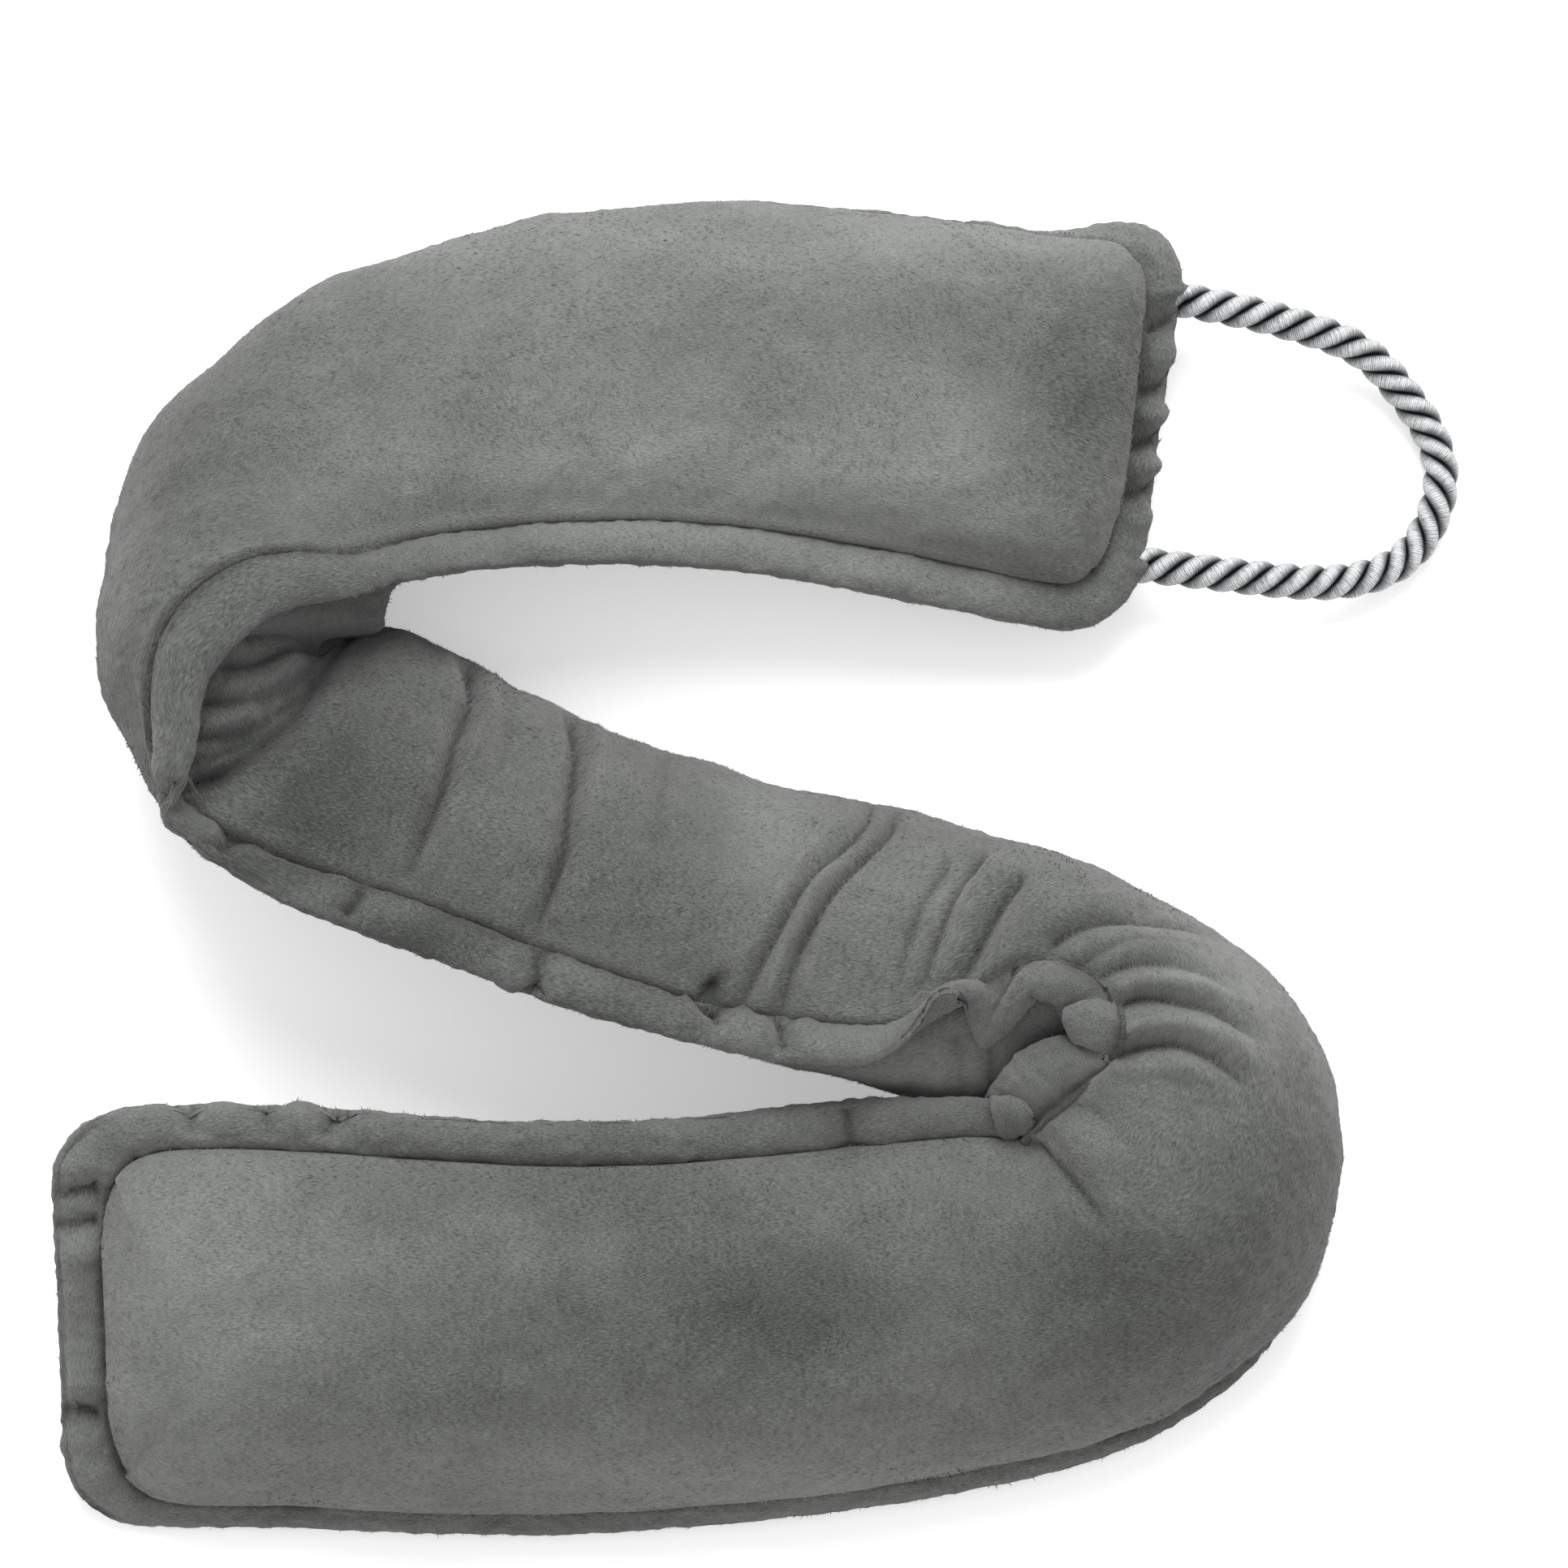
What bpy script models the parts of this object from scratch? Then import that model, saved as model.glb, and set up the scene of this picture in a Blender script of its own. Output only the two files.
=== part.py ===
"""Draught excluder: a long stuffed plush cushion bent into an S, with a rope loop at one end.

Metres, +Z up. The surface that it lies on is z = 0 and the origin is under the middle of the cushion.
Two long panels, face a and face b, are sewn together inside a flat padded flange that runs all round.
The stuffed tube lies on its side, more so in the bends, so each section has its own roll.
"""

import bisect
from typing import NamedTuple

import bmesh
import bpy
import numpy as np

FLANGE_THICKNESS = 0.57       # of its width, at its middle
FLANGE_ROOT = 0.0022          # two layers of plush pressed together by the seam
FLANGE_ROOT_SPAN = 0.001
FLANGE_FOLD = 0.003           # over this width the flange turns away from the seam
END_FLANGE = 0.012
CORNER_RADIUS = 0.021
END_RISE = 0.030              # the crown rises from the end seam over this length
CORNER_POWER = 5              # how square the end of the stuffed part is
CROWN_POWER = 2.3
CROWN_FULLNESS = 0.55
RESTING_DEPTH = 0.003         # the underside is pressed flat by this much
FLANGE_CLEARANCE = 0.0012
ROW_STEP = 0.009
BODY_COLUMNS = 12
FLANGE_COLUMNS = (0.22, 0.5, 0.8, 1.0)
END_ROWS = (0.0, 0.0012, 0.0035, 0.006, 0.0085, 0.0108, 0.012, 0.0132, 0.016, 0.020, 0.026, 0.033)
FINE = 4001

ROPE_DIAMETER = 0.0095
ROPE_POINT_STEP = 2.4 * ROPE_DIAMETER

PLUSH_COLOUR = (0.21, 0.215, 0.205, 1.0)
ROPE_COLOUR = (0.42, 0.43, 0.44, 1.0)


class Section(NamedTuple):
    """One section across the cushion: its place, its roll and the two flanges beside it."""

    name: str
    x: float
    y: float
    roll: float        # degrees, from face a up (0) over its edge (90) to face b up (180)
    half: float        # from the middle to either seam
    crown_a: float
    crown_b: float
    inner: float       # width of the flange along the inner seam
    inner_bend: float  # degrees, towards face a
    outer: float
    outer_bend: float


SECTIONS = (
    Section("near_end", -0.161, -0.121, 24, 0.0456, 0.024, 0.024, 0.0120, 10, 0.0095, -10),
    Section("near_a", -0.114, -0.121, 24, 0.0464, 0.027, 0.027, 0.0120, 10, 0.0085, -15),
    Section("near_b", -0.032, -0.124, 25, 0.0452, 0.028, 0.027, 0.0120, 0, 0.0085, -15),
    Section("near_c", 0.040, -0.1185, 26, 0.0448, 0.029, 0.028, 0.0120, 0, 0.0080, -15),
    Section("bend_a", 0.088, -0.1100, 30, 0.0436, 0.030, 0.028, 0.0090, 20, 0.0080, 0),
    Section("bend_b", 0.1225, -0.0930, 46, 0.0425, 0.030, 0.025, 0.0055, 40, 0.0080, 30),
    Section("bend_c", 0.1295, -0.0675, 58, 0.0395, 0.029, 0.019, 0.0055, 48, 0.0080, 40),
    Section("bend_d", 0.1200, -0.0485, 66, 0.0380, 0.027, 0.018, 0.0055, 40, 0.0080, 45),
    Section("bend_e", 0.103, -0.0360, 73, 0.0380, 0.025, 0.020, 0.0070, 22, 0.0085, 50),
    Section("middle_a", 0.077, -0.028, 70, 0.0390, 0.028, 0.026, 0.0095, 10, 0.0090, 50),
    Section("middle_b", 0.051, -0.0250, 50, 0.0415, 0.028, 0.031, 0.0110, -10, 0.0085, 45),
    Section("middle_c", 0.018, -0.0185, 46, 0.0422, 0.027, 0.029, 0.0118, -15, 0.0080, 40),
    Section("middle_d", -0.034, -0.0005, 44, 0.0412, 0.026, 0.026, 0.0122, -30, 0.0070, 40),
    Section("middle_e", -0.079, 0.0175, 42, 0.0425, 0.026, 0.026, 0.0120, -25, 0.0070, 38),
    Section("turn_a", -0.1075, 0.0290, 45, 0.0430, 0.025, 0.026, 0.0118, 5, 0.0045, 44),
    Section("turn_b", -0.1215, 0.0440, 70, 0.0415, 0.022, 0.027, 0.0120, 40, 0.0040, 48),
    Section("turn_c", -0.1245, 0.0660, 106, 0.0412, 0.023, 0.027, 0.0120, 50, 0.0050, 50),
    Section("turn_d", -0.1135, 0.0890, 137, 0.0420, 0.025, 0.027, 0.0120, 35, 0.0080, 50),
    Section("turn_e", -0.088, 0.1095, 150, 0.0435, 0.027, 0.027, 0.0120, 10, 0.0100, 55),
    Section("far_a", -0.046, 0.1230, 159, 0.0450, 0.027, 0.027, 0.0120, 0, 0.0100, 55),
    Section("far_b", 0.009, 0.1270, 166, 0.0455, 0.027, 0.027, 0.0122, 0, 0.0100, 55),
    Section("far_c", 0.067, 0.1205, 174, 0.0452, 0.027, 0.027, 0.0122, 0, 0.0100, 55),
    Section("far_end", 0.1205, 0.1125, 182, 0.0450, 0.025, 0.025, 0.0122, 0, 0.0115, 0),
)

# The rope leaves the far end's flange twice and droops to the surface between.
ROPE_ROUTE = (
    (0.1260, 0.1469, 0.0208),
    (0.1440, 0.1436, 0.0190),
    (0.1610, 0.1396, 0.0150),
    (0.1750, 0.1340, 0.0108),
    (0.1840, 0.1250, 0.0077),
    (0.1910, 0.1150, 0.0057),
    (0.1940, 0.1040, 0.0050),
    (0.1920, 0.0930, 0.0050),
    (0.1840, 0.0810, 0.0062),
    (0.1720, 0.0750, 0.0090),
    (0.1550, 0.0732, 0.0135),
    (0.1360, 0.0745, 0.0172),
    (0.1166, 0.0768, 0.0187),
)


def smooth_curve(knots, values, at):
    """The natural cubic spline through values (n, k) at knots, read at the places in at."""
    gaps = np.diff(knots)
    slopes = np.diff(values, axis=0) / gaps[:, None]
    system = np.eye(len(knots))
    right = np.zeros_like(values)
    for i in range(1, len(knots) - 1):
        system[i, i - 1 : i + 2] = gaps[i - 1], 2 * (gaps[i - 1] + gaps[i]), gaps[i]
        right[i] = 6 * (slopes[i] - slopes[i - 1])
    bend = np.linalg.solve(system, right)
    i = np.clip(np.searchsorted(knots, at) - 1, 0, len(gaps) - 1)
    gap = gaps[i][:, None]
    before = (knots[i + 1] - at)[:, None]
    after = (at - knots[i])[:, None]
    return (
        (bend[i] * before**3 + bend[i + 1] * after**3) / (6 * gap)
        + (values[i] / gap - bend[i] * gap / 6) * before
        + (values[i + 1] / gap - bend[i + 1] * gap / 6) * after
    )


def steady_curve(knots, values, at):
    """Values (n, k) at knots joined smoothly without overshooting, read at the places in at."""
    gaps = np.diff(knots)[:, None]
    slopes = np.diff(values, axis=0) / gaps
    before, after = slopes[:-1], slopes[1:]
    wide, narrow = 2 * gaps[1:] + gaps[:-1], gaps[1:] + 2 * gaps[:-1]
    turning = before * after <= 0
    safe_before = np.where(turning, 1, before)
    safe_after = np.where(turning, 1, after)
    mean = (wide + narrow) / (wide / safe_before + narrow / safe_after)
    inner = np.where(turning, 0, mean)
    tilt = np.concatenate([slopes[:1], inner, slopes[-1:]])
    i = np.clip(np.searchsorted(knots, at) - 1, 0, len(gaps) - 1)
    gap = gaps[i]
    u = ((at - knots[i])[:, None]) / gap
    return (
        (2 * u**3 - 3 * u**2 + 1) * values[i]
        + (u**3 - 2 * u**2 + u) * gap * tilt[i]
        + (3 * u**2 - 2 * u**3) * values[i + 1]
        + (u**3 - u**2) * gap * tilt[i + 1]
    )


def running_length(points):
    """The length along a line of points up to each of them."""
    return np.concatenate([[0], np.cumsum(np.linalg.norm(np.diff(points, axis=0), axis=1))])


def averaged(values, reach):
    """Each value's mean with its neighbours up to reach rows away."""
    window = 2 * reach + 1
    return np.convolve(np.pad(values, reach, mode="edge"), np.ones(window) / window, "valid")


def row_places(length):
    """Where the rows of the mesh lie along the cushion: close together at its ends."""
    ends = np.array(END_ROWS)
    inner = length - 2 * ends[-1]
    steps = round(inner / ROW_STEP)
    middle = ends[-1] + inner * np.arange(1, steps) / steps
    return np.concatenate([ends, middle, length - ends[::-1]])


def column_places(half, inner, outer, cut):
    """How far each column of each row lies from the middle, outer flange first.

    cut is how much the rounded corner takes off each side of the row.
    """
    reach_inner = half + inner - cut
    reach_outer = half + outer - cut
    seam_inner = half * reach_inner / (half + inner)
    seam_outer = half * reach_outer / (half + outer)
    even = np.linspace(-1, 1, BODY_COLUMNS + 1)
    crowded = -np.cos(np.linspace(0, np.pi, BODY_COLUMNS + 1))
    body = (even + crowded) / 2
    flange = np.array(FLANGE_COLUMNS)
    seams = np.where(body < 0, seam_outer[:, None], seam_inner[:, None])
    return np.concatenate(
        [
            -(seam_outer[:, None] + (reach_outer - seam_outer)[:, None] * flange[::-1]),
            seams * body,
            seam_inner[:, None] + (reach_inner - seam_inner)[:, None] * flange,
        ],
        axis=1,
    )


def edge_distance(across, end, reach):
    """The distance from the cushion's rounded outer edge, inwards, in the flat cover."""
    side = reach - np.abs(across)
    end = np.broadcast_to(end[:, None], side.shape)
    corner = CORNER_RADIUS - np.hypot(
        np.clip(CORNER_RADIUS - side, 0, None), np.clip(CORNER_RADIUS - end, 0, None)
    )
    in_corner = (side < CORNER_RADIUS) & (end < CORNER_RADIUS)
    return np.clip(np.where(in_corner, corner, np.minimum(side, end)), 0, None)


def heights(across, end, half, flange):
    """How far the cover stands off its middle surface: (share of the crown, flange's thickness)."""
    from_end = np.clip(1 - (end - END_FLANGE) / END_RISE, 0, None)[:, None]
    from_middle = (np.abs(across) / half[:, None]) ** CORNER_POWER + from_end**CORNER_POWER
    ring = np.clip(from_middle ** (1 / CORNER_POWER), 0, 1)
    crown = (1 - ring**CROWN_POWER) ** CROWN_FULLNESS
    edge = edge_distance(across, end, half[:, None] + flange)
    share = np.clip(edge / flange, 0, 1)
    puff = FLANGE_THICKNESS * flange / 2 * np.sqrt(1 - (1 - 2 * share) ** 2)
    root = FLANGE_ROOT / 2 * np.clip(edge / FLANGE_ROOT_SPAN, 0, 1)
    return crown, np.maximum(puff, root)


def face_grids():
    """The points of face a and face b, each (rows, columns, 3), which share their outer edge."""
    table = np.array([section[1:] for section in SECTIONS])
    knots = running_length(table[:, :2])
    fine = np.linspace(0, knots[-1], FINE)
    along = running_length(smooth_curve(knots, table[:, :2], fine))
    places = row_places(along[-1])
    at = np.interp(places, along, fine)
    line = smooth_curve(knots, table[:, :2], at)
    step = knots[-1] / FINE
    ahead = smooth_curve(knots, table[:, :2], np.clip(at + step, 0, knots[-1]))
    behind = smooth_curve(knots, table[:, :2], np.clip(at - step, 0, knots[-1]))
    heading = (ahead - behind) / np.linalg.norm(ahead - behind, axis=1)[:, None]
    values = steady_curve(knots, table[:, 2:], at).T
    roll, half, crown_a, crown_b, inner, inner_bend, outer, outer_bend = values
    roll, inner_bend, outer_bend = np.radians([roll, inner_bend, outer_bend])

    forward = np.column_stack([heading, np.zeros(len(at))])
    left = np.column_stack([-heading[:, 1], heading[:, 0], np.zeros(len(at))])
    width_way = np.cos(roll)[:, None] * left + np.sin(roll)[:, None] * np.array([0, 0, 1])
    thick_way = np.cross(forward, width_way)

    end = np.minimum(places, along[-1] - places)
    turned = np.clip(CORNER_RADIUS - end, 0, None)
    cut = CORNER_RADIUS - np.sqrt(CORNER_RADIUS**2 - turned**2)
    across = column_places(half, inner, outer, cut)
    flange = np.where(across > 0, inner[:, None], outer[:, None])
    crown, puff = heights(across, end, half, flange)

    past = np.clip(np.abs(across) - half[:, None], 0, None)
    bend = np.where(across > 0, inner_bend[:, None], outer_bend[:, None])
    bend = bend * np.clip(past / FLANGE_FOLD, 0, 1)
    side = np.sign(across)
    middle_width = side * (np.minimum(np.abs(across), half[:, None]) + past * np.cos(bend))
    middle_thick = past * np.sin(bend)

    def place(height, way):
        """The face on one side of the middle surface, around the section's own middle."""
        width = middle_width - way * height * side * np.sin(bend)
        thick = middle_thick + way * height * np.cos(bend)
        return width[..., None] * width_way[:, None] + thick[..., None] * thick_way[:, None]

    face_a = place(np.maximum(crown_a[:, None] * crown, puff), 1)
    face_b = place(np.maximum(crown_b[:, None] * crown, puff), -1)

    lowest = np.minimum(face_a[..., 2], face_b[..., 2])
    in_body = past == 0
    body_rests = -np.where(in_body, lowest, np.inf).min(axis=1) - RESTING_DEPTH
    flange_rests = -np.where(in_body, np.inf, lowest).min(axis=1) - FLANGE_CLEARANCE
    whole = end > CORNER_RADIUS
    lift = np.interp(places, places[whole], np.maximum(body_rests, flange_rests)[whole])
    flange_rests = np.interp(places, places[whole], flange_rests[whole])
    lift = averaged(np.maximum(averaged(lift, 3), flange_rests), 1)
    centre = np.column_stack([line, lift])[:, None]
    for face in (face_a, face_b):
        face += centre
        face[..., 2] = np.clip(face[..., 2], 0, None)
    return face_a, face_b


def new_object(name, data, collection, material):
    """An object for the data, in the collection and with the material."""
    data.materials.append(material)
    result = bpy.data.objects.new(name, data)
    collection.objects.link(result)
    return result


def new_material(name, colour, roughness):
    """A plain cloth material."""
    material = bpy.data.materials.new(name)
    material.use_nodes = True
    shader = material.node_tree.nodes["Principled BSDF"]
    shader.inputs["Base Color"].default_value = colour
    shader.inputs["Roughness"].default_value = roughness
    shader.inputs["Metallic"].default_value = 0.0
    return material


def make_cushion(collection, material):
    """The stuffed cushion with its flange, lofted from ring to ring along the S."""
    face_a, face_b = face_grids()
    rings = np.concatenate([face_a, face_b[:, -2:0:-1]], axis=1)
    count, around = rings.shape[:2]
    loft = bmesh.new()
    vertices = [[loft.verts.new(point) for point in ring] for ring in rings]
    for i in range(count - 1):
        for j in range(around):
            k = (j + 1) % around
            loft.faces.new((vertices[i][j], vertices[i + 1][j], vertices[i + 1][k], vertices[i][k]))
    bmesh.ops.remove_doubles(loft, verts=loft.verts, dist=0.00002)
    bmesh.ops.recalc_face_normals(loft, faces=loft.faces)
    mesh = bpy.data.meshes.new("cushion")
    loft.to_mesh(mesh)
    loft.free()
    mesh.shade_smooth()
    return new_object("cushion", mesh, collection, material)


def make_rope(collection, material):
    """The rope loop as a plain tube along its route."""
    route = np.array(ROPE_ROUTE)
    knots = running_length(route)
    fine = np.linspace(0, knots[-1], FINE)
    line = smooth_curve(knots, route, fine)
    along = running_length(line)
    count = round(along[-1] / ROPE_POINT_STEP) + 1
    places = np.linspace(0, along[-1], count)
    points = [line[min(bisect.bisect_left(along, place), FINE - 1)] for place in places]
    curve = bpy.data.curves.new("rope_loop", "CURVE")
    curve.dimensions = "3D"
    curve.bevel_depth = ROPE_DIAMETER / 2
    curve.bevel_resolution = 3
    curve.use_fill_caps = True
    curve.render_resolution_u = 0
    spline = curve.splines.new("POLY")
    spline.points.add(count - 1)
    for target, point in zip(spline.points, points):
        target.co = (*point, 1)
    return new_object("rope_loop", curve, collection, material)


def main():
    """Clear the file and build the draught excluder."""
    for old in list(bpy.data.objects):
        bpy.data.objects.remove(old)
    collection = bpy.data.collections.new("draught_excluder")
    bpy.context.scene.collection.children.link(collection)
    make_cushion(collection, new_material("plush", PLUSH_COLOUR, 0.95))
    make_rope(collection, new_material("rope", ROPE_COLOUR, 0.5))


main()
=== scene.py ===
"""Draught excluder: the looks of a long stuffed plush cushion bent into an S, with a rope loop.

Metres, +Z up. The cushion is cut as two long panels, face a and face b, with a padded flange all round.
Places on the cover are given flat: along the S from its near end, and across it from the middle line.
A few folds are placed by where the photograph shows them, as named pixels, and lie on the cover there.
"""

import logging
import math
from dataclasses import dataclass, field
from enum import Enum
from typing import Any, NamedTuple

import bpy
import numpy as np
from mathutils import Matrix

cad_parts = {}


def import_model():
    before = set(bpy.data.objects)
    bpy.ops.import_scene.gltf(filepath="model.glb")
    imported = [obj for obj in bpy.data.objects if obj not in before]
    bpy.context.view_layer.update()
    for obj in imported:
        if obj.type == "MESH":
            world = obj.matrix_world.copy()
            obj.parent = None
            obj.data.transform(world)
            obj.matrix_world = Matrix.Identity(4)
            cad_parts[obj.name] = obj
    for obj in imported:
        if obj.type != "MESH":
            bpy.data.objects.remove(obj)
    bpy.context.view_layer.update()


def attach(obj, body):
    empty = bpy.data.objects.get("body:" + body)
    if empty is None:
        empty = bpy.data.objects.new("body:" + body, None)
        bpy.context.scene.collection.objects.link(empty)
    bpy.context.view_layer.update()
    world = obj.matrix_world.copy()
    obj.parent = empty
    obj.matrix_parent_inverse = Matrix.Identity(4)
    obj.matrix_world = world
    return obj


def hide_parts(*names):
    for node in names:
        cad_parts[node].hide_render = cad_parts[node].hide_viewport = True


log = logging.getLogger("draught_excluder")
Array = np.ndarray
BODY = "root"
FINE = 4001  # points on a finely divided line
SEED = 417
TINY = 1e-12  # the least length to divide by


class Face(Enum):
    """The cover's two panels, with the sign of the side that each lies on."""

    A = 1.0
    B = -1.0


class Section(NamedTuple):
    """One section across the cushion: its place, its roll and the two flanges beside it."""

    name: str
    x: float
    y: float
    roll: float        # degrees, from face a up (0) over its edge (90) to face b up (180)
    half: float        # from the middle to either seam
    crown_a: float
    crown_b: float
    inner: float       # width of the flange along the inner seam
    inner_bend: float  # degrees, towards face a
    outer: float
    outer_bend: float


SECTIONS = (
    Section("near_end", -0.161, -0.121, 24, 0.0456, 0.024, 0.024, 0.0120, 10, 0.0095, -10),
    Section("near_a", -0.114, -0.121, 24, 0.0464, 0.027, 0.027, 0.0120, 10, 0.0085, -15),
    Section("near_b", -0.032, -0.124, 25, 0.0452, 0.028, 0.027, 0.0120, 0, 0.0085, -15),
    Section("near_c", 0.040, -0.1185, 26, 0.0448, 0.029, 0.028, 0.0120, 0, 0.0080, -15),
    Section("bend_a", 0.088, -0.1100, 30, 0.0436, 0.030, 0.028, 0.0120, 10, 0.0080, 0),
    Section("bend_b", 0.1225, -0.0930, 46, 0.0425, 0.030, 0.025, 0.0055, 40, 0.0080, 30),
    Section("bend_c", 0.1295, -0.0675, 58, 0.0395, 0.029, 0.019, 0.0055, 48, 0.0080, 40),
    Section("bend_d", 0.1200, -0.0485, 66, 0.0380, 0.027, 0.018, 0.0055, 40, 0.0080, 45),
    Section("bend_e", 0.103, -0.0360, 73, 0.0380, 0.025, 0.020, 0.0070, 22, 0.0085, 50),
    Section("middle_a", 0.077, -0.028, 70, 0.0390, 0.028, 0.026, 0.0095, 10, 0.0090, 50),
    Section("middle_b", 0.051, -0.0250, 50, 0.0415, 0.028, 0.031, 0.0110, -10, 0.0085, 45),
    Section("middle_c", 0.018, -0.0185, 46, 0.0422, 0.027, 0.029, 0.0118, -15, 0.0080, 40),
    Section("middle_d", -0.034, -0.0005, 44, 0.0412, 0.026, 0.026, 0.0122, -30, 0.0070, 40),
    Section("middle_e", -0.079, 0.0175, 42, 0.0425, 0.026, 0.026, 0.0120, -25, 0.0070, 38),
    Section("turn_a", -0.1075, 0.0290, 45, 0.0430, 0.025, 0.026, 0.0118, 5, 0.0045, 44),
    Section("turn_b", -0.1215, 0.0440, 70, 0.0415, 0.022, 0.027, 0.0120, 40, 0.0040, 48),
    Section("turn_c", -0.1245, 0.0660, 106, 0.0412, 0.023, 0.027, 0.0120, 50, 0.0050, 50),
    Section("turn_d", -0.1135, 0.0890, 137, 0.0420, 0.025, 0.027, 0.0120, 35, 0.0080, 50),
    Section("turn_e", -0.088, 0.1095, 150, 0.0435, 0.027, 0.027, 0.0120, 10, 0.0100, 55),
    Section("far_a", -0.046, 0.1230, 159, 0.0450, 0.027, 0.027, 0.0120, 0, 0.0100, 55),
    Section("far_b", 0.009, 0.1270, 166, 0.0455, 0.027, 0.027, 0.0122, 0, 0.0100, 66),
    Section("far_c", 0.067, 0.1205, 174, 0.0452, 0.027, 0.027, 0.0122, 0, 0.0100, 82),
    Section("far_end", 0.1205, 0.1125, 182, 0.0450, 0.025, 0.025, 0.0122, 0, 0.0115, 0),
)

# The rope's middle (x, y, z). It leaves the far end's flange twice and droops to the surface between.
ROPE_ROUTE = (
    (0.1260, 0.1469, 0.0192),
    (0.1440, 0.1436, 0.0182),
    (0.1610, 0.1396, 0.0150),
    (0.1750, 0.1340, 0.0108),
    (0.1840, 0.1250, 0.0077),
    (0.1910, 0.1150, 0.0057),
    (0.1940, 0.1040, 0.0050),
    (0.1920, 0.0930, 0.0050),
    (0.1840, 0.0810, 0.0062),
    (0.1720, 0.0750, 0.0090),
    (0.1550, 0.0732, 0.0135),
    (0.1360, 0.0745, 0.0166),
    (0.1166, 0.0768, 0.0166),
)


class Crease(NamedTuple):
    """A fold in the cover, at the photograph's pixels (u, v) from its start to its end."""

    name: str
    route: tuple[tuple[float, float], ...]
    width: float  # from its bottom to its side
    depth: float
    ridge: float  # how far the cloth stands up beside it


CREASES = (
    Crease("wall_1", ((1176, 1268), (1180, 1310), (1178, 1352)), 0.0020, 0.0024, 0.0010),
    Crease("wall_2", ((1216, 1268), (1210, 1310), (1206, 1352)), 0.0020, 0.0024, 0.0010),
    Crease(
        "near_bend_1",
        ((1290, 1174), (1318, 1150), (1366, 1132), (1430, 1132), (1490, 1144), (1530, 1160)),
        0.0018,
        0.0040,
        0.0015,
    ),
    Crease("near_bend_2", ((1350, 1208), (1390, 1190), (1454, 1190), (1530, 1226)), 0.0017, 0.0036, 0.0015),
    Crease(
        "near_bend_3",
        ((1370, 1244), (1404, 1232), (1460, 1236), (1517, 1255), (1560, 1282)),
        0.0018,
        0.0042,
        0.0016,
    ),
    Crease(
        "near_bend_4",
        ((1368, 1300), (1404, 1292), (1454, 1288), (1494, 1304), (1540, 1340)),
        0.0018,
        0.0042,
        0.0016,
    ),
    Crease(
        "near_bend_5",
        ((1268, 1404), (1290, 1424), (1310, 1444), (1334, 1474), (1364, 1512)),
        0.0024,
        0.0032,
        0.0004,
    ),
    Crease("near_bend_6", ((1292, 1372), (1330, 1362), (1370, 1388), (1410, 1425)), 0.0024, 0.0010, 0.0006),
    Crease("near_bend_7", ((1330, 1190), (1380, 1162), (1440, 1160), (1510, 1180)), 0.0016, 0.0020, 0.0008),
    Crease(
        "middle_1",
        ((566, 800), (578, 826), (582, 855), (565, 901), (547, 970), (522, 1035), (503, 1088)),
        0.0016,
        0.0052,
        0.0018,
    ),
    Crease(
        "middle_2",
        ((704, 868), (709, 892), (712, 925), (703, 985), (694, 1050), (674, 1110), (657, 1156)),
        0.0016,
        0.0050,
        0.0018,
    ),
    Crease(
        "middle_3",
        ((1108, 998), (1092, 1022), (1047, 1066), (1006, 1128), (978, 1190), (962, 1262)),
        0.0014,
        0.0060,
        0.0016,
    ),
    Crease(
        "middle_4",
        ((1076, 996), (1062, 1020), (1020, 1056), (972, 1122), (938, 1188), (908, 1250)),
        0.0014,
        0.0048,
        0.0014,
    ),
    Crease("middle_5", ((1215, 1050), (1190, 1080), (1155, 1150), (1132, 1225)), 0.0022, 0.0048, 0.0018),
    Crease("middle_6", ((1262, 1085), (1232, 1120), (1200, 1180), (1178, 1225)), 0.0022, 0.0048, 0.0018),
    Crease("middle_7", ((1170, 1060), (1140, 1105), (1118, 1160), (1108, 1210)), 0.0022, 0.0032, 0.0012),
    Crease("middle_8", ((622, 845), (628, 900), (610, 960)), 0.0024, 0.0012, 0.0006),
    Crease("middle_9", ((820, 925), (812, 1000), (800, 1060)), 0.0040, 0.0012, 0.0006),
    Crease("middle_notch", ((868, 1216), (884, 1228)), 0.0030, 0.0050, 0.0010),
    Crease("hollow_1", ((285, 786), (330, 784), (380, 784), (440, 745)), 0.0020, 0.0028, 0.0012),
    Crease("hollow_2", ((262, 822), (300, 822), (345, 808), (397, 779), (430, 750)), 0.0020, 0.0034, 0.0014),
    Crease("hollow_3", ((240, 866), (280, 868), (322, 860), (380, 823), (414, 779)), 0.0020, 0.0034, 0.0014),
    Crease("hollow_4", ((229, 910), (293, 903), (345, 872), (397, 826)), 0.0020, 0.0034, 0.0014),
    Crease("hollow_5", ((226, 940), (281, 925), (333, 892)), 0.0020, 0.0026, 0.0010),
    Crease(
        "valley",
        ((216, 982), (262, 962), (312, 928), (368, 874), (408, 812), (440, 772), (462, 752)),
        0.0036,
        0.0080,
        0.0016,
    ),
)

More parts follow.
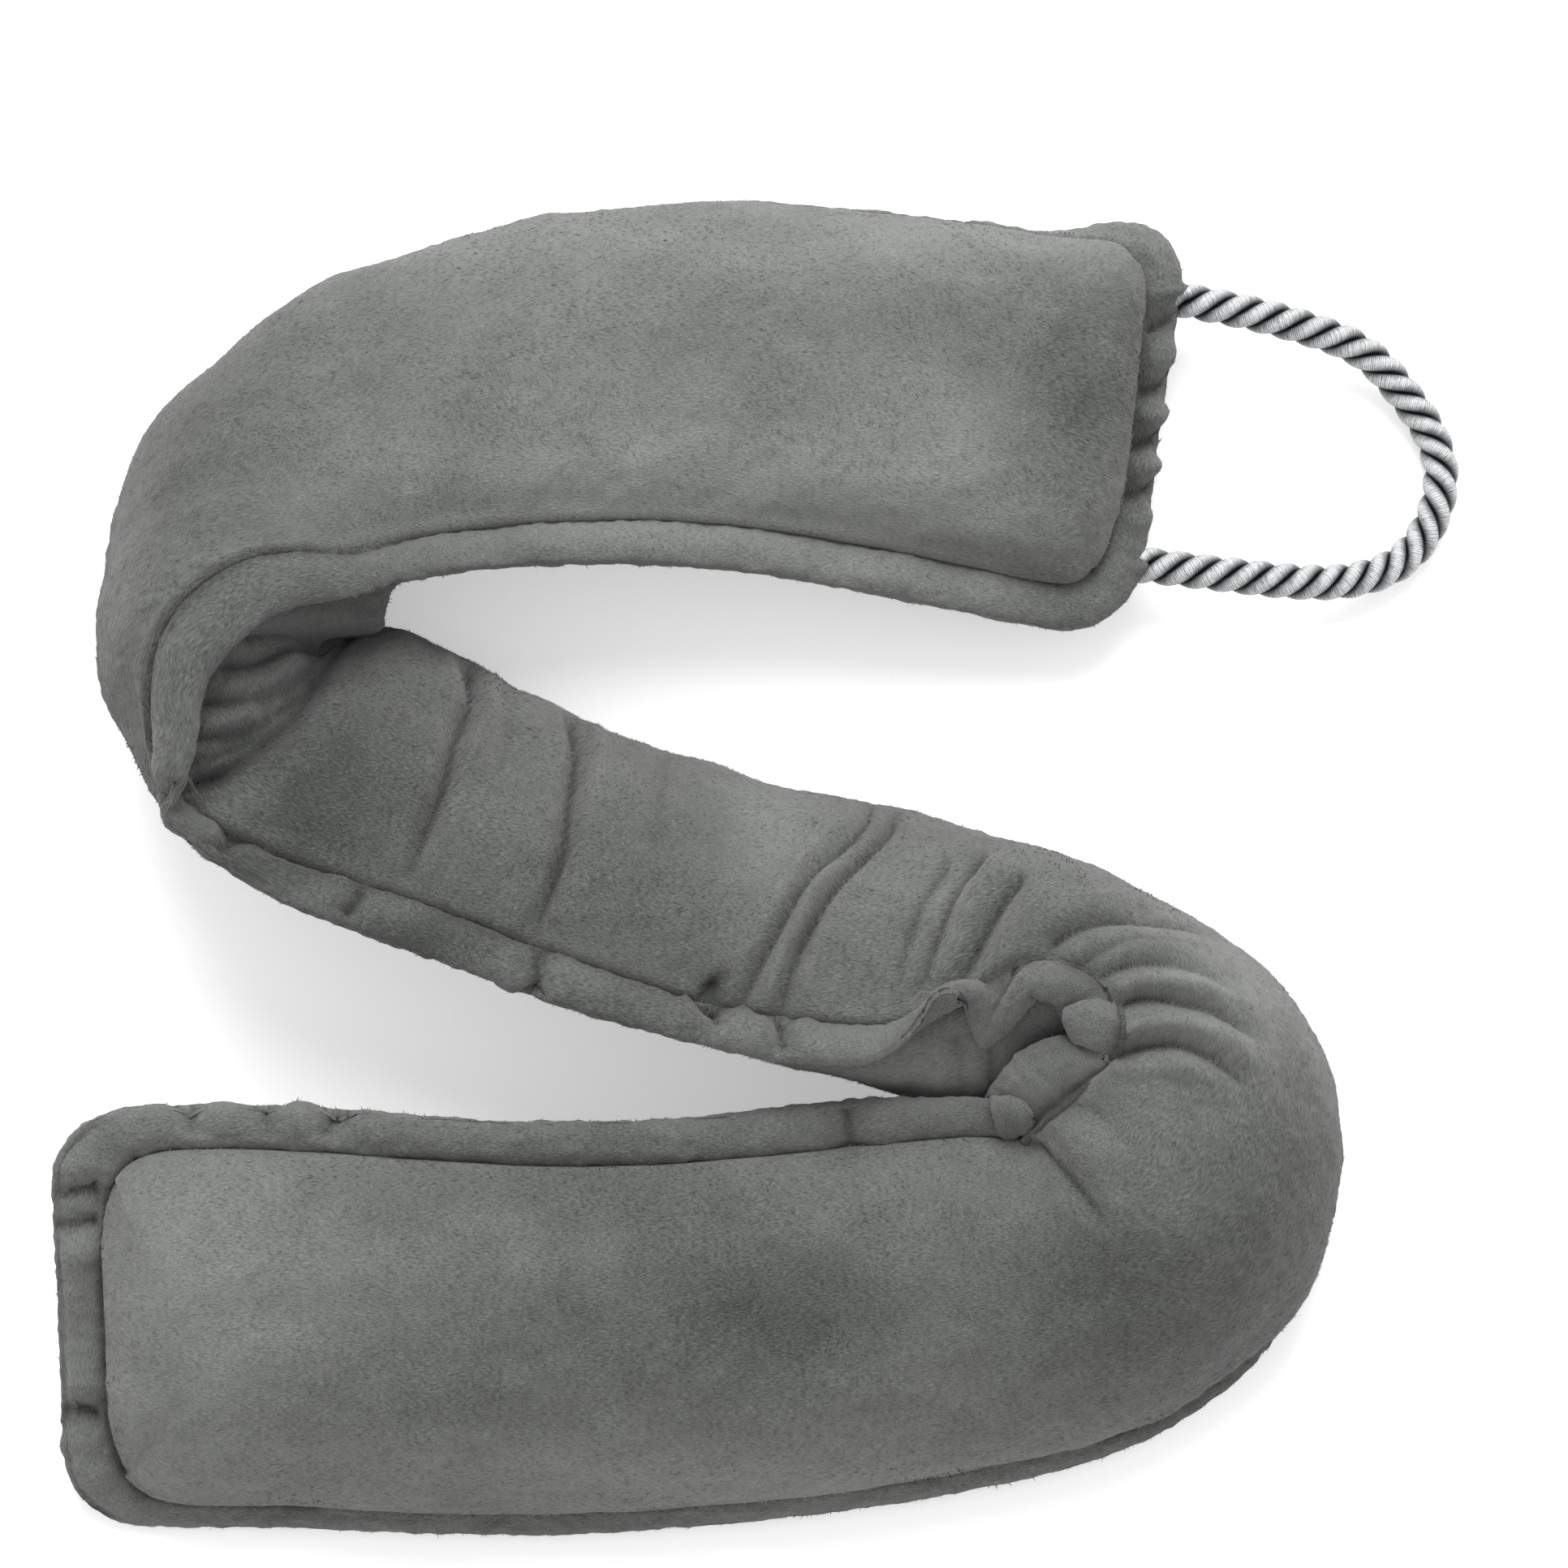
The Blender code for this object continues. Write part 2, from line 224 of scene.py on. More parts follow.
# Short gathers across the flange, where its thread pulls it in.
GATHERS = (
    Crease("middle_gather_1", ((272, 1052), (302, 1012)), 0.0020, 0.0040, 0.0012),
    Crease("middle_gather_2", ((425, 1130), (452, 1088)), 0.0020, 0.0040, 0.0012),
    Crease("middle_gather_3", ((656, 1232), (666, 1164)), 0.0020, 0.0044, 0.0012),
    Crease("middle_gather_4", ((868, 1210), (879, 1232), (884, 1264)), 0.0022, 0.0046, 0.0014),
    Crease("middle_notch_edge", ((862, 1214), (886, 1230)), 0.0030, 0.0046, 0.0010),
    Crease("rope_lip_1", ((1446, 352), (1450, 366)), 0.0034, -0.0030, 0.0),
    Crease("rope_lip_2", ((1416, 694), (1414, 708)), 0.0034, -0.0030, 0.0),
    Crease("middle_gather_5", ((961, 1250), (964, 1274), (966, 1300)), 0.0020, 0.0046, 0.0014),
    Crease("near_gather_1", ((232, 1350), (236, 1402)), 0.0026, 0.0030, 0.0010),
    Crease("near_gather_2", ((326, 1360), (332, 1404)), 0.0026, 0.0020, 0.0006),
    Crease("near_gather_3", ((422, 1362), (398, 1406)), 0.0026, 0.0032, 0.0010),
    Crease("near_gather_4", ((1042, 1360), (1048, 1420)), 0.0026, 0.0032, 0.0010),
    Crease("near_end_gather_1", ((126, 1468), (66, 1474)), 0.0024, 0.0048, 0.0014),
    Crease("near_end_gather_2", ((124, 1506), (68, 1512)), 0.0022, 0.0044, 0.0012),
    Crease("near_end_gather_3", ((130, 1746), (78, 1738)), 0.0024, 0.0048, 0.0014),
    Crease("far_end_gather_1", ((1408, 402), (1456, 394)), 0.0022, 0.0044, 0.0014),
    Crease("far_end_gather_2", ((1398, 482), (1452, 474)), 0.0022, 0.0044, 0.0014),
    Crease("far_end_gather_3", ((1390, 548), (1446, 540)), 0.0022, 0.0044, 0.0014),
    Crease("far_end_gather_4", ((1380, 610), (1440, 600)), 0.0022, 0.0040, 0.0014),
    Crease("turn_gather", ((188, 985), (226, 968)), 0.0022, 0.0030, 0.0008),
)


class Pull(NamedTuple):
    """How far the inner seam is drawn aside at one place along the S, in metres."""

    along: float
    x: float
    y: float
    z: float


PULLS = (
    Pull(0.000, 0.0000, 0.0000, 0.0000),
    Pull(0.235, 0.0000, -0.0005, 0.0000),
    Pull(0.256, -0.0040, -0.0035, 0.0000),
    Pull(0.274, -0.0110, -0.0020, 0.0010),
    Pull(0.292, -0.0110, 0.0040, 0.0010),
    Pull(0.309, -0.0108, 0.0070, 0.0010),
    Pull(0.326, -0.0070, 0.0070, 0.0010),
    Pull(0.344, -0.0015, 0.0040, 0.0010),
    Pull(0.362, 0.0036, 0.0050, 0.0000),
    Pull(0.379, 0.0056, 0.0052, 0.0000),
    Pull(0.396, 0.0060, 0.0030, 0.0000),
    Pull(0.415, 0.0000, 0.0000, 0.0000),
    Pull(0.895, 0.0000, 0.0000, 0.0000),
)


class Lobe(NamedTuple):
    """Where the crumpled flange's outer edge lies: its root along the S, and its pixel and height."""

    along: float
    u: float
    v: float
    height: float


# Inside the near bend the flange is too long for its seam, so it folds into lobes.
NEAR_LOBES = (
    Lobe(0.2480, 1195, 1352, 0.0620),
    Lobe(0.2560, 1236, 1351, 0.0650),
    Lobe(0.2615, 1264, 1360, 0.0665),
    Lobe(0.2655, 1274, 1378, 0.0630),
    Lobe(0.2690, 1258, 1380, 0.0540),
    Lobe(0.2735, 1226, 1362, 0.0490),
    Lobe(0.2790, 1216, 1340, 0.0520),
    Lobe(0.2850, 1232, 1316, 0.0600),
    Lobe(0.2940, 1256, 1293, 0.0670),
    Lobe(0.3050, 1292, 1277, 0.0710),
    Lobe(0.3160, 1335, 1282, 0.0725),
    Lobe(0.3230, 1360, 1293, 0.0700),
    Lobe(0.3280, 1334, 1282, 0.0690),
    Lobe(0.3360, 1311, 1266, 0.0760),
    Lobe(0.3430, 1315, 1238, 0.0785),
    Lobe(0.3490, 1346, 1232, 0.0730),
    Lobe(0.3540, 1316, 1247, 0.0700),
    Lobe(0.3620, 1298, 1238, 0.0760),
    Lobe(0.3700, 1280, 1232, 0.0800),
    Lobe(0.3780, 1256, 1232, 0.0800),
    Lobe(0.3850, 1218, 1288, 0.0680),
    Lobe(0.3910, 1194, 1268, 0.0690),
    Lobe(0.3960, 1182, 1228, 0.0810),
    Lobe(0.4020, 1154, 1224, 0.0820),
    Lobe(0.4090, 1134, 1254, 0.0770),
    Lobe(0.4170, 1105, 1292, 0.0735),
)

# Over the other bend it leans across the hollow.
TURN_LOBES = (
    Lobe(0.5620, 312, 1092, 0.0640),
    Lobe(0.5720, 254, 1056, 0.0670),
    Lobe(0.5800, 212, 1022, 0.0700),
    Lobe(0.5850, 201, 1004, 0.0730),
    Lobe(0.5890, 213, 986, 0.0780),
    Lobe(0.5950, 236, 928, 0.0830),
    Lobe(0.6016, 246, 868, 0.0840),
    Lobe(0.6080, 264, 822, 0.0845),
    Lobe(0.6150, 296, 786, 0.0830),
    Lobe(0.6240, 338, 754, 0.0790),
    Lobe(0.6350, 392, 742, 0.0710),
    Lobe(0.6499, 450, 727, 0.0630),
    Lobe(0.6650, 508, 713, 0.0580),
    Lobe(0.6850, 548, 706, 0.0555),
)


class Puff(NamedTuple):
    """Where the stuffing bulges or sinks: a place on a face, how wide, and how far out."""

    name: str
    face: Face
    along: float
    across: float  # share of the way to the inner seam
    reach_along: float
    reach_across: float
    out: float


PUFFS = (
    Puff("near_bend_wall", Face.B, 0.385, 0.50, 0.026, 0.018, 0.0070),
    Puff("near_bend_wall_low", Face.B, 0.345, 0.55, 0.020, 0.018, 0.0030),
    Puff("far_hollow", Face.B, 0.846, -0.05, 0.015, 0.018, -0.0028),
    Puff("far_lip", Face.B, 0.8790, 0.00, 0.0060, 0.060, 0.0042),
    Puff("far_shoulder", Face.B, 0.8740, -0.70, 0.0100, 0.018, 0.0040),
    Puff("bay_end", Face.A, 0.555, -0.85, 0.024, 0.026, 0.0042),
    Puff("middle_pad_1", Face.A, 0.480, 0.10, 0.016, 0.040, 0.0016),
    Puff("middle_pad_2", Face.A, 0.520, 0.00, 0.014, 0.040, 0.0012),
    Puff("middle_pad_3", Face.A, 0.440, 0.00, 0.012, 0.040, 0.0014),
    Puff("near_pad", Face.A, 0.070, 0.00, 0.040, 0.040, 0.0010),
)


class Grab(NamedTuple):
    """Cloth drawn aside round one place: the place, how wide, and how far it moves, in metres.

    Only cloth further along the S than after is drawn.
    """

    name: str
    x: float
    y: float
    z: float
    reach: float
    move_x: float
    move_y: float
    move_z: float
    after: float


GRABS = (
    Grab("turn_wall", -0.106, 0.061, 0.038, 0.024, 0.0245, 0.0000, 0.0000, 0.590),
    Grab("near_wall", 0.070, -0.050, 0.040, 0.0165, 0.0000, -0.0110, 0.0060, 0.000),
)


class NapAndPaintedLight(NamedTuple):
    """A lighter or darker patch, partly where the pile was stroked one way and partly painted light and
    shade: a pixel, its reach in metres, and how much lighter, in stops.
    """

    name: str
    u: float
    v: float
    wide: float
    tall: float
    stops: float


# Partly the pile's nap, partly painted light and shade: a lit top edge, painted shade along edges and in
# pinches, and a shaded hollow painted lighter.
NAP_AND_PAINTED_LIGHT = (
    NapAndPaintedLight("far_crown", 950, 290, 0.110, 0.012, 0.75),
    NapAndPaintedLight("far_middle", 820, 450, 0.080, 0.020, 0.05),
    NapAndPaintedLight("far_low", 820, 600, 0.080, 0.020, 1.05),
    NapAndPaintedLight("far_right", 1150, 610, 0.036, 0.024, 0.78),
    NapAndPaintedLight("far_turned", 1320, 510, 0.018, 0.022, -0.75),
    NapAndPaintedLight("far_edge", 1400, 520, 0.004, 0.040, -0.50),
    NapAndPaintedLight("middle_pinch", 876, 1222, 0.003, 0.0026, -1.60),
    NapAndPaintedLight("far_left", 220, 640, 0.044, 0.050, -0.68),
    NapAndPaintedLight("middle_left", 420, 960, 0.030, 0.030, -0.80),
    NapAndPaintedLight("middle_light", 950, 1000, 0.014, 0.020, 0.70),
    NapAndPaintedLight("middle", 780, 1060, 0.030, 0.018, -0.60),
    NapAndPaintedLight("middle_edge_1", 320, 1070, 0.016, 0.008, -0.90),
    NapAndPaintedLight("middle_edge_2", 520, 1160, 0.026, 0.009, -1.05),
    NapAndPaintedLight("middle_edge_3", 780, 1245, 0.026, 0.009, -0.60),
    NapAndPaintedLight("near_left", 200, 1600, 0.030, 0.050, 0.80),
    NapAndPaintedLight("near_dark", 950, 1600, 0.034, 0.020, -0.85),
    NapAndPaintedLight("near_right", 1420, 1600, 0.044, 0.030, -0.75),
    NapAndPaintedLight("near_low", 700, 1815, 0.090, 0.010, 0.70),
    NapAndPaintedLight("near_top", 700, 1470, 0.070, 0.010, -0.45),
    NapAndPaintedLight("far_edge_low", 850, 682, 0.060, 0.006, -0.55),
    NapAndPaintedLight("hollow_wall", 1140, 1325, 0.022, 0.007, 0.90),
    NapAndPaintedLight("bend_top", 1500, 1200, 0.022, 0.022, 0.50),
    NapAndPaintedLight("bend_right", 1600, 1420, 0.022, 0.030, -0.45),
)


class Band(NamedTuple):
    """One band of soft unevenness: the length of its waves, how many, and its share."""

    length: float
    count: int
    share: float


LUMPS = (Band(0.060, 14, 1.0), Band(0.020, 24, 0.45))
FUR = (Band(0.0045, 40, 1.0), Band(0.0030, 40, 0.7))
WAVE_SPREAD = (0.7, 1.5)  # a band's shortest and longest wave, as shares of its length


def unit(vectors: Array) -> Array:
    """Vectors scaled to length 1."""
    return vectors / np.maximum(np.linalg.norm(vectors, axis=-1, keepdims=True), TINY)


def smooth_step(low: float, high: float, values: Array) -> Array:
    """0 below low, 1 above high, and 3 t^2 - 2 t^3 between."""
    share = np.clip((values - low) / (high - low), 0, 1)
    return share * share * (3 - 2 * share)


def between(values: Array, rise: float, full: float, ease: float, end: float) -> Array:
    """0 up to rise, 1 from full to ease, and 0 again from end."""
    return smooth_step(rise, full, values) * (1 - smooth_step(ease, end, values))


def bell(values: Array) -> Array:
    """exp(-v^2): 1 at 0, and next to nothing from 2 on."""
    return np.exp(-(values**2))


def smooth_curve(knots: Array, values: Array, at: Array) -> Array:
    """The natural cubic spline through values at knots.

    Args:
        knots: Growing places, (n,).
        values: What it passes through, (n, k).
        at: Where to read it, (m,).

    Returns:
        The curve there, (m, k): a cubic on each gap whose second differences join up.
    """
    gaps = np.diff(knots)
    slopes = np.diff(values, axis=0) / gaps[:, None]
    inner = np.arange(1, len(knots) - 1)
    system = np.eye(len(knots))
    system[inner, inner - 1] = gaps[:-1]
    system[inner, inner] = 2 * (gaps[:-1] + gaps[1:])
    system[inner, inner + 1] = gaps[1:]
    right = np.zeros_like(values, dtype=float)
    right[inner] = 6 * np.diff(slopes, axis=0)
    bend = np.linalg.solve(system, right)
    i = np.clip(np.searchsorted(knots, at) - 1, 0, len(gaps) - 1)
    gap = gaps[i][:, None]
    before = (knots[i + 1] - at)[:, None]
    after = (at - knots[i])[:, None]
    return (
        (bend[i] * before**3 + bend[i + 1] * after**3) / (6 * gap)
        + (values[i] / gap - bend[i] * gap / 6) * before
        + (values[i + 1] / gap - bend[i + 1] * gap / 6) * after
    )


def steady_curve(knots: Array, values: Array, at: Array) -> Array:
    """Values at knots joined by cubics that never overshoot.

    Args:
        knots: Growing places, (n,).
        values: What it passes through, (n, k).
        at: Where to read it, (m,).

    Returns:
        The curve there, (m, k). Each knot's slope is the weighted harmonic mean of those beside it.
    """
    gaps = np.diff(knots)[:, None]
    slopes = np.diff(values, axis=0) / gaps
    before, after = slopes[:-1], slopes[1:]
    wide, narrow = 2 * gaps[1:] + gaps[:-1], gaps[1:] + 2 * gaps[:-1]
    turning = before * after <= 0
    safe_before = np.where(turning, 1, before)
    safe_after = np.where(turning, 1, after)
    mean = (wide + narrow) / (wide / safe_before + narrow / safe_after)
    tilt = np.concatenate([slopes[:1], np.where(turning, 0, mean), slopes[-1:]])
    i = np.clip(np.searchsorted(knots, at) - 1, 0, len(gaps) - 1)
    gap = gaps[i]
    u = ((at - knots[i])[:, None]) / gap
    return (
        (2 * u**3 - 3 * u**2 + 1) * values[i]
        + (u**3 - 2 * u**2 + u) * gap * tilt[i]
        + (3 * u**2 - 2 * u**3) * values[i + 1]
        + (u**3 - u**2) * gap * tilt[i + 1]
    )


def running_length(points: Array) -> Array:
    """The length along a line of points up to each of them."""
    return np.concatenate([[0], np.cumsum(np.linalg.norm(np.diff(points, axis=0), axis=1))])


def averaged(values: Array, reach: int) -> Array:
    """Each value's mean with its neighbours up to reach rows away."""
    window = 2 * reach + 1
    return np.convolve(np.pad(values, reach, mode="edge"), np.ones(window) / window, "valid")


def waves(points: Array, length: float, count: int, seed: int) -> Array:
    """Soft seeded unevenness: the sum of count plane waves of about one length in any direction.

    Args:
        points: Where to read it, (..., k).
        length: The waves' middle length, in metres.
        count: How many waves.
        seed: The generator's seed.

    Returns:
        Values with a mean of 0 and a spread of about 1.
    """
    rng = np.random.default_rng(seed)
    way = unit(rng.normal(size=(count, points.shape[-1])))
    pitch = 2 * np.pi / (length * rng.uniform(*WAVE_SPREAD, count))
    phase = rng.uniform(0, 2 * np.pi, count)
    return np.sin((points @ way.T) * pitch + phase).sum(axis=-1) * math.sqrt(2 / count)


def banded(points: Array, bands: tuple[Band, ...], seed: int) -> Array:
    """The sum of the bands' waves at points, with the next seed for each band."""
    return sum(band.share * waves(points, band.length, band.count, seed + k) for k, band in enumerate(bands))


@dataclass(frozen=True)
class Photo:
    """The photograph's camera, nearly overhead."""

    size: int = 1932
    pixels_per_metre: float = 4740.0
    elevation: float = math.radians(80)
    distance: float = 1.7
    target: tuple[float, float, float] = (0.02236, 0.02228, 0.0)
    sensor: float = 36.0
    nearest: float = 0.05
    furthest: float = 30.0

    @property
    def focal(self) -> float:
        """The focal length in pixels."""
        return self.pixels_per_metre * self.distance

    @property
    def axes(self) -> Array:
        """The camera's right, up and backward directions."""
        sine, cosine = math.sin(self.elevation), math.cos(self.elevation)
        return np.array([[1, 0, 0], [0, sine, cosine], [0, -cosine, sine]])

    @property
    def place(self) -> Array:
        """Where the camera stands."""
        return np.array(self.target) + self.distance * self.axes[2]

    def project(self, points: Array) -> Array:
        """The pixels (u, v) where points are seen: focal length times offset over depth."""
        local = (points - self.place) @ self.axes.T
        middle = self.size / 2
        depth = -local[..., 2]
        across = middle + self.focal * local[..., 0] / depth
        down = middle - self.focal * local[..., 1] / depth
        return np.stack([across, down], axis=-1)

    def unproject(self, pixels: Array, heights: Array) -> Array:
        """The points at given heights that are seen at the pixels."""
        middle = self.size / 2
        local = np.stack(
            [
                (pixels[..., 0] - middle) / self.focal,
                (middle - pixels[..., 1]) / self.focal,
                -np.ones(pixels.shape[:-1]),
            ],
            axis=-1,
        )
        ray = local @ self.axes
        reach = (heights - self.place[2]) / ray[..., 2]
        return self.place + reach[..., None] * ray

    def build(self) -> None:
        """Make the scene's camera."""
        data = bpy.data.cameras.new("camera")
        data.sensor_width = self.sensor
        data.lens = self.focal * self.sensor / self.size
        data.clip_start = self.nearest
        data.clip_end = self.furthest
        camera = bpy.data.objects.new("camera", data)
        camera.location = self.place
        camera.rotation_euler = (math.pi / 2 - self.elevation, 0, 0)
        bpy.context.scene.collection.objects.link(camera)
        bpy.context.scene.camera = camera


@dataclass
class Spine:
    """The S that the cushion follows, and the shape of its section at each place."""

    resting_depth: float = 0.003
    flange_clearance: float = 0.0012
    fold: float = 0.003
    corner: float = 0.021
    end_flange: float = 0.012
    end_rise: float = 0.030
    near_corner: float = 4.2
    far_corner: float = 6.5
    crown_power: float = 2.3
    crown_fullness: float = 0.55
    flange_thickness: float = 0.57
    pull_reach: float = 0.024
    lift_places: int = 96
    lift_columns: int = 25
    lift_smoothing: int = 3
    lift_flange: tuple[float, ...] = (1.15, 1.45, 1.8)
    columns: dict[str, Array] = field(default_factory=dict)

    def __post_init__(self) -> None:
        """Work out the dense table of sections from the short one."""
        table = np.array([section[1:] for section in SECTIONS])
        knots = running_length(table[:, :2])
        at = np.linspace(0, knots[-1], FINE)
        line = smooth_curve(knots, table[:, :2], at)
        self.along = running_length(line)
        self.length = float(self.along[-1])
        heading = unit(np.gradient(line, self.along, axis=0))
        values = steady_curve(knots, table[:, 2:], at).T
        names = Section._fields[3:]
        self.columns = dict(zip(names, values))
        for name in ("roll", "inner_bend", "outer_bend"):
            self.columns[name] = np.radians(self.columns[name])
        turning = np.gradient(np.unwrap(np.arctan2(heading[:, 1], heading[:, 0])), self.along)
        self.columns.update(
            x=line[:, 0], y=line[:, 1], ahead_x=heading[:, 0], ahead_y=heading[:, 1], turning=turning
        )
        pulls = np.array(PULLS)
        drawn = steady_curve(pulls[:, 0], pulls[:, 1:], self.along)
        self.columns.update(dict.fromkeys(("lift", "pull_x", "pull_y", "pull_z"), np.zeros(FINE)))
        self.columns["lift"] = self.find_lift()
        self.columns.update(pull_x=drawn[:, 0], pull_y=drawn[:, 1], pull_z=drawn[:, 2])

    def at(self, along: Array) -> dict[str, Array]:
        """The table's columns, read at places along the S."""
        return {name: np.interp(along, self.along, column) for name, column in self.columns.items()}

    def place(self, along: Array, across: Array, height: Array) -> Array:
        """World points for places on the flat cover.

        Past a seam the middle surface turns by the flange's bend, within the width of its fold.
        Near the inner seam each point is drawn aside with it, by a share exp(-(gap / reach)^2).

        Args:
            along: Places along the S.
            across: Places across it, inner side positive.
            height: How far each point stands off the middle surface, towards face a.

        Returns:
            The points, (..., 3).
        """
        here = self.at(along)
        side = np.where(across < 0, -1.0, 1.0)
        past = np.clip(np.abs(across) - here["half"], 0, None)
        bend = np.where(across > 0, here["inner_bend"], here["outer_bend"])
        bend = bend * np.clip(past / self.fold, 0, 1)
        width = side * (np.minimum(np.abs(across), here["half"]) + past * np.cos(bend))
        width = width - height * side * np.sin(bend)
        thick = past * np.sin(bend) + height * np.cos(bend)
        ahead = np.stack([here["ahead_x"], here["ahead_y"], np.zeros_like(width)], axis=-1)
        left = np.stack([-here["ahead_y"], here["ahead_x"], np.zeros_like(width)], axis=-1)
        up = np.array([0.0, 0.0, 1.0])
        width_way = np.cos(here["roll"])[..., None] * left + np.sin(here["roll"])[..., None] * up
        thick_way = np.cross(ahead, width_way)
        centre = np.stack([here["x"], here["y"], here["lift"]], axis=-1)
        drawn = np.stack([here["pull_x"], here["pull_y"], here["pull_z"]], axis=-1)
        from_seam = np.clip(here["half"] - across, 0, None)
        share = bell(from_seam / self.pull_reach)
        return centre + width[..., None] * width_way + thick[..., None] * thick_way + share[..., None] * drawn

    def reach(self, along: Array, side: float) -> Array:
        """How far the cover's outer edge is from the middle, on the inner (+1) or outer (-1) side."""
        here = self.at(along)
        return here["half"] + here["inner" if side > 0 else "outer"]

    def corner_power(self, along: Array) -> Array:
        """How square the body's corners are at the nearer end."""
        return np.where(along < self.length / 2, self.near_corner, self.far_corner)

    def ring(self, along: Array, across: Array, half: Array) -> Array:
        """r^power for the rounded outline through each place, where r is 1 on the body's seam."""
        end = np.minimum(along, self.length - along)
        from_end = np.clip(1 - (end - self.end_flange) / self.end_rise, 0, None)
        power = self.corner_power(along)
        return (np.abs(across) / half) ** power + from_end**power

    def crown(self, along: Array, across: Array, half: Array) -> Array:
        """The crown's share at each place: (1 - r^power)^fullness, where r is 1 on the seam."""
        ring = self.ring(along, across, half) ** (1 / self.corner_power(along))
        return (1 - np.clip(ring, 0, 1) ** self.crown_power) ** self.crown_fullness

    def find_lift(self) -> Array:
        """How high the middle line lies, so that the cushion rests with a flattened underside."""
        places = np.linspace(self.corner, self.length - self.corner, self.lift_places)
        on_flange = np.array(self.lift_flange)
        share = np.concatenate([np.linspace(-1, 1, self.lift_columns), -on_flange, on_flange])
        along, column = np.meshgrid(places, share, indexing="ij")
        here = self.at(along)
        flange = np.where(column > 0, here["inner"], here["outer"])
        past = np.clip(np.abs(column) - 1, 0, None)
        across = np.sign(column) * (here["half"] * np.minimum(np.abs(column), 1) + past * flange)
        crown = self.crown(along, across, here["half"])
        puff = self.flange_thickness * flange / 2 * np.sqrt(np.clip(1 - (1 - 2 * past) ** 2, 0, 1))
        low_a = self.place(along, across, np.maximum(here["crown_a"] * crown, puff))[..., 2]
        low_b = self.place(along, across, -np.maximum(here["crown_b"] * crown, puff))[..., 2]
        lowest = np.minimum(low_a, low_b)
        body = -np.where(past == 0, lowest, np.inf).min(axis=1) - self.resting_depth
        flanges = -np.where(past == 0, np.inf, lowest).min(axis=1) - self.flange_clearance
        lift = averaged(np.maximum(body, flanges), self.lift_smoothing)
        lift = averaged(np.maximum(lift, flanges), 1)
        return np.interp(self.along, places, lift)


@dataclass(frozen=True)
class Grain:
    """How fine the meshes are: the steps between their rows, and their counts of rows and columns."""

    row_step: float = 0.00117
    body_columns: int = 64
    end_rows: int = 26
    flange_step: float = 0.00105
    rope_step: float = 0.00040


def settle(points: Array, depth: float = 0.0015) -> Array:
    """Points pressed softly on the ground: under depth, height becomes depth * exp(z / depth - 1)."""
    height = points[..., 2]
    pressed = depth * np.exp(np.minimum(height, depth) / depth - 1)
    points[..., 2] = np.where(height < depth, pressed, height)
    return points


def grid_normals(rings: Array, closed: bool) -> Array:
    """Outward normals of a grid of rings, from central differences in both directions.

    Args:
        rings: Points, (rows, around, 3).
        closed: Whether the last row joins the first.

    Returns:
        Unit normals of the same shape.
    """
    around = np.roll(rings, -1, axis=1) - np.roll(rings, 1, axis=1)
    along = np.roll(rings, -1, axis=0) - np.roll(rings, 1, axis=0)
    if not closed:
        along[0] = rings[1] - rings[0]
        along[-1] = rings[-1] - rings[-2]
    return unit(np.cross(along, around))


def ring_faces(rows: int, around: int, closed: bool) -> Array:
    """The quads between rings of points, as rows of four corner numbers."""
    last = rows if closed else rows - 1
    i, j = np.meshgrid(np.arange(last), np.arange(around), indexing="ij")
    following, beside = (i + 1) % rows, (j + 1) % around
    corners = [i * around + j, following * around + j, following * around + beside, i * around + beside]
    return np.stack(corners, axis=-1).reshape(-1, 4)


def distance_to_route(pixels: Array, route: Array) -> tuple[Array, Array]:
    """The distance from each pixel to a line of pixels, and where along it the nearest point is."""
    start, step = route[:-1], np.diff(route, axis=0)
    offset = pixels[:, None] - start
    share = np.clip((offset * step).sum(-1) / (step**2).sum(-1), 0, 1)
    gap = np.linalg.norm(offset - share[..., None] * step, axis=-1)
    nearest = gap.argmin(axis=1)
    rows = np.arange(len(pixels))
    return gap[rows, nearest], (nearest + share[rows, nearest]) / len(step)


def mesh_object(
    name: str, points: Array, faces: list[Array], cloth: list[Array] | None = None
) -> bpy.types.Object:
    """A smooth mesh object at the origin.

    Args:
        name: Its name.
        points: Vertices, (n, 3).
        faces: Corner numbers, one array for each number of corners.
        cloth: Flat places of the same corners, kept as its UV map.

    Returns:
        The object, linked to the scene.
    """
    mesh = bpy.data.meshes.new(name)
    mesh.from_pydata(points.tolist(), [], [face for group in faces for face in group.tolist()])
    if cloth is not None:
        layer = mesh.uv_layers.new(name="cloth")
        places = np.concatenate([group.reshape(-1, 2) for group in cloth])
        layer.data.foreach_set("uv", places.astype(np.float32).ravel())
    mesh.shade_smooth()
    mesh.update()
    made = bpy.data.objects.new(name, mesh)
    bpy.context.scene.collection.objects.link(made)
    return made


def point_values(made: bpy.types.Object, name: str, values: Array) -> None:
    """Keep a number for each vertex as a named attribute."""
    layer = made.data.attributes.new(name, "FLOAT", "POINT")
    layer.data.foreach_set("value", values.astype(np.float32))


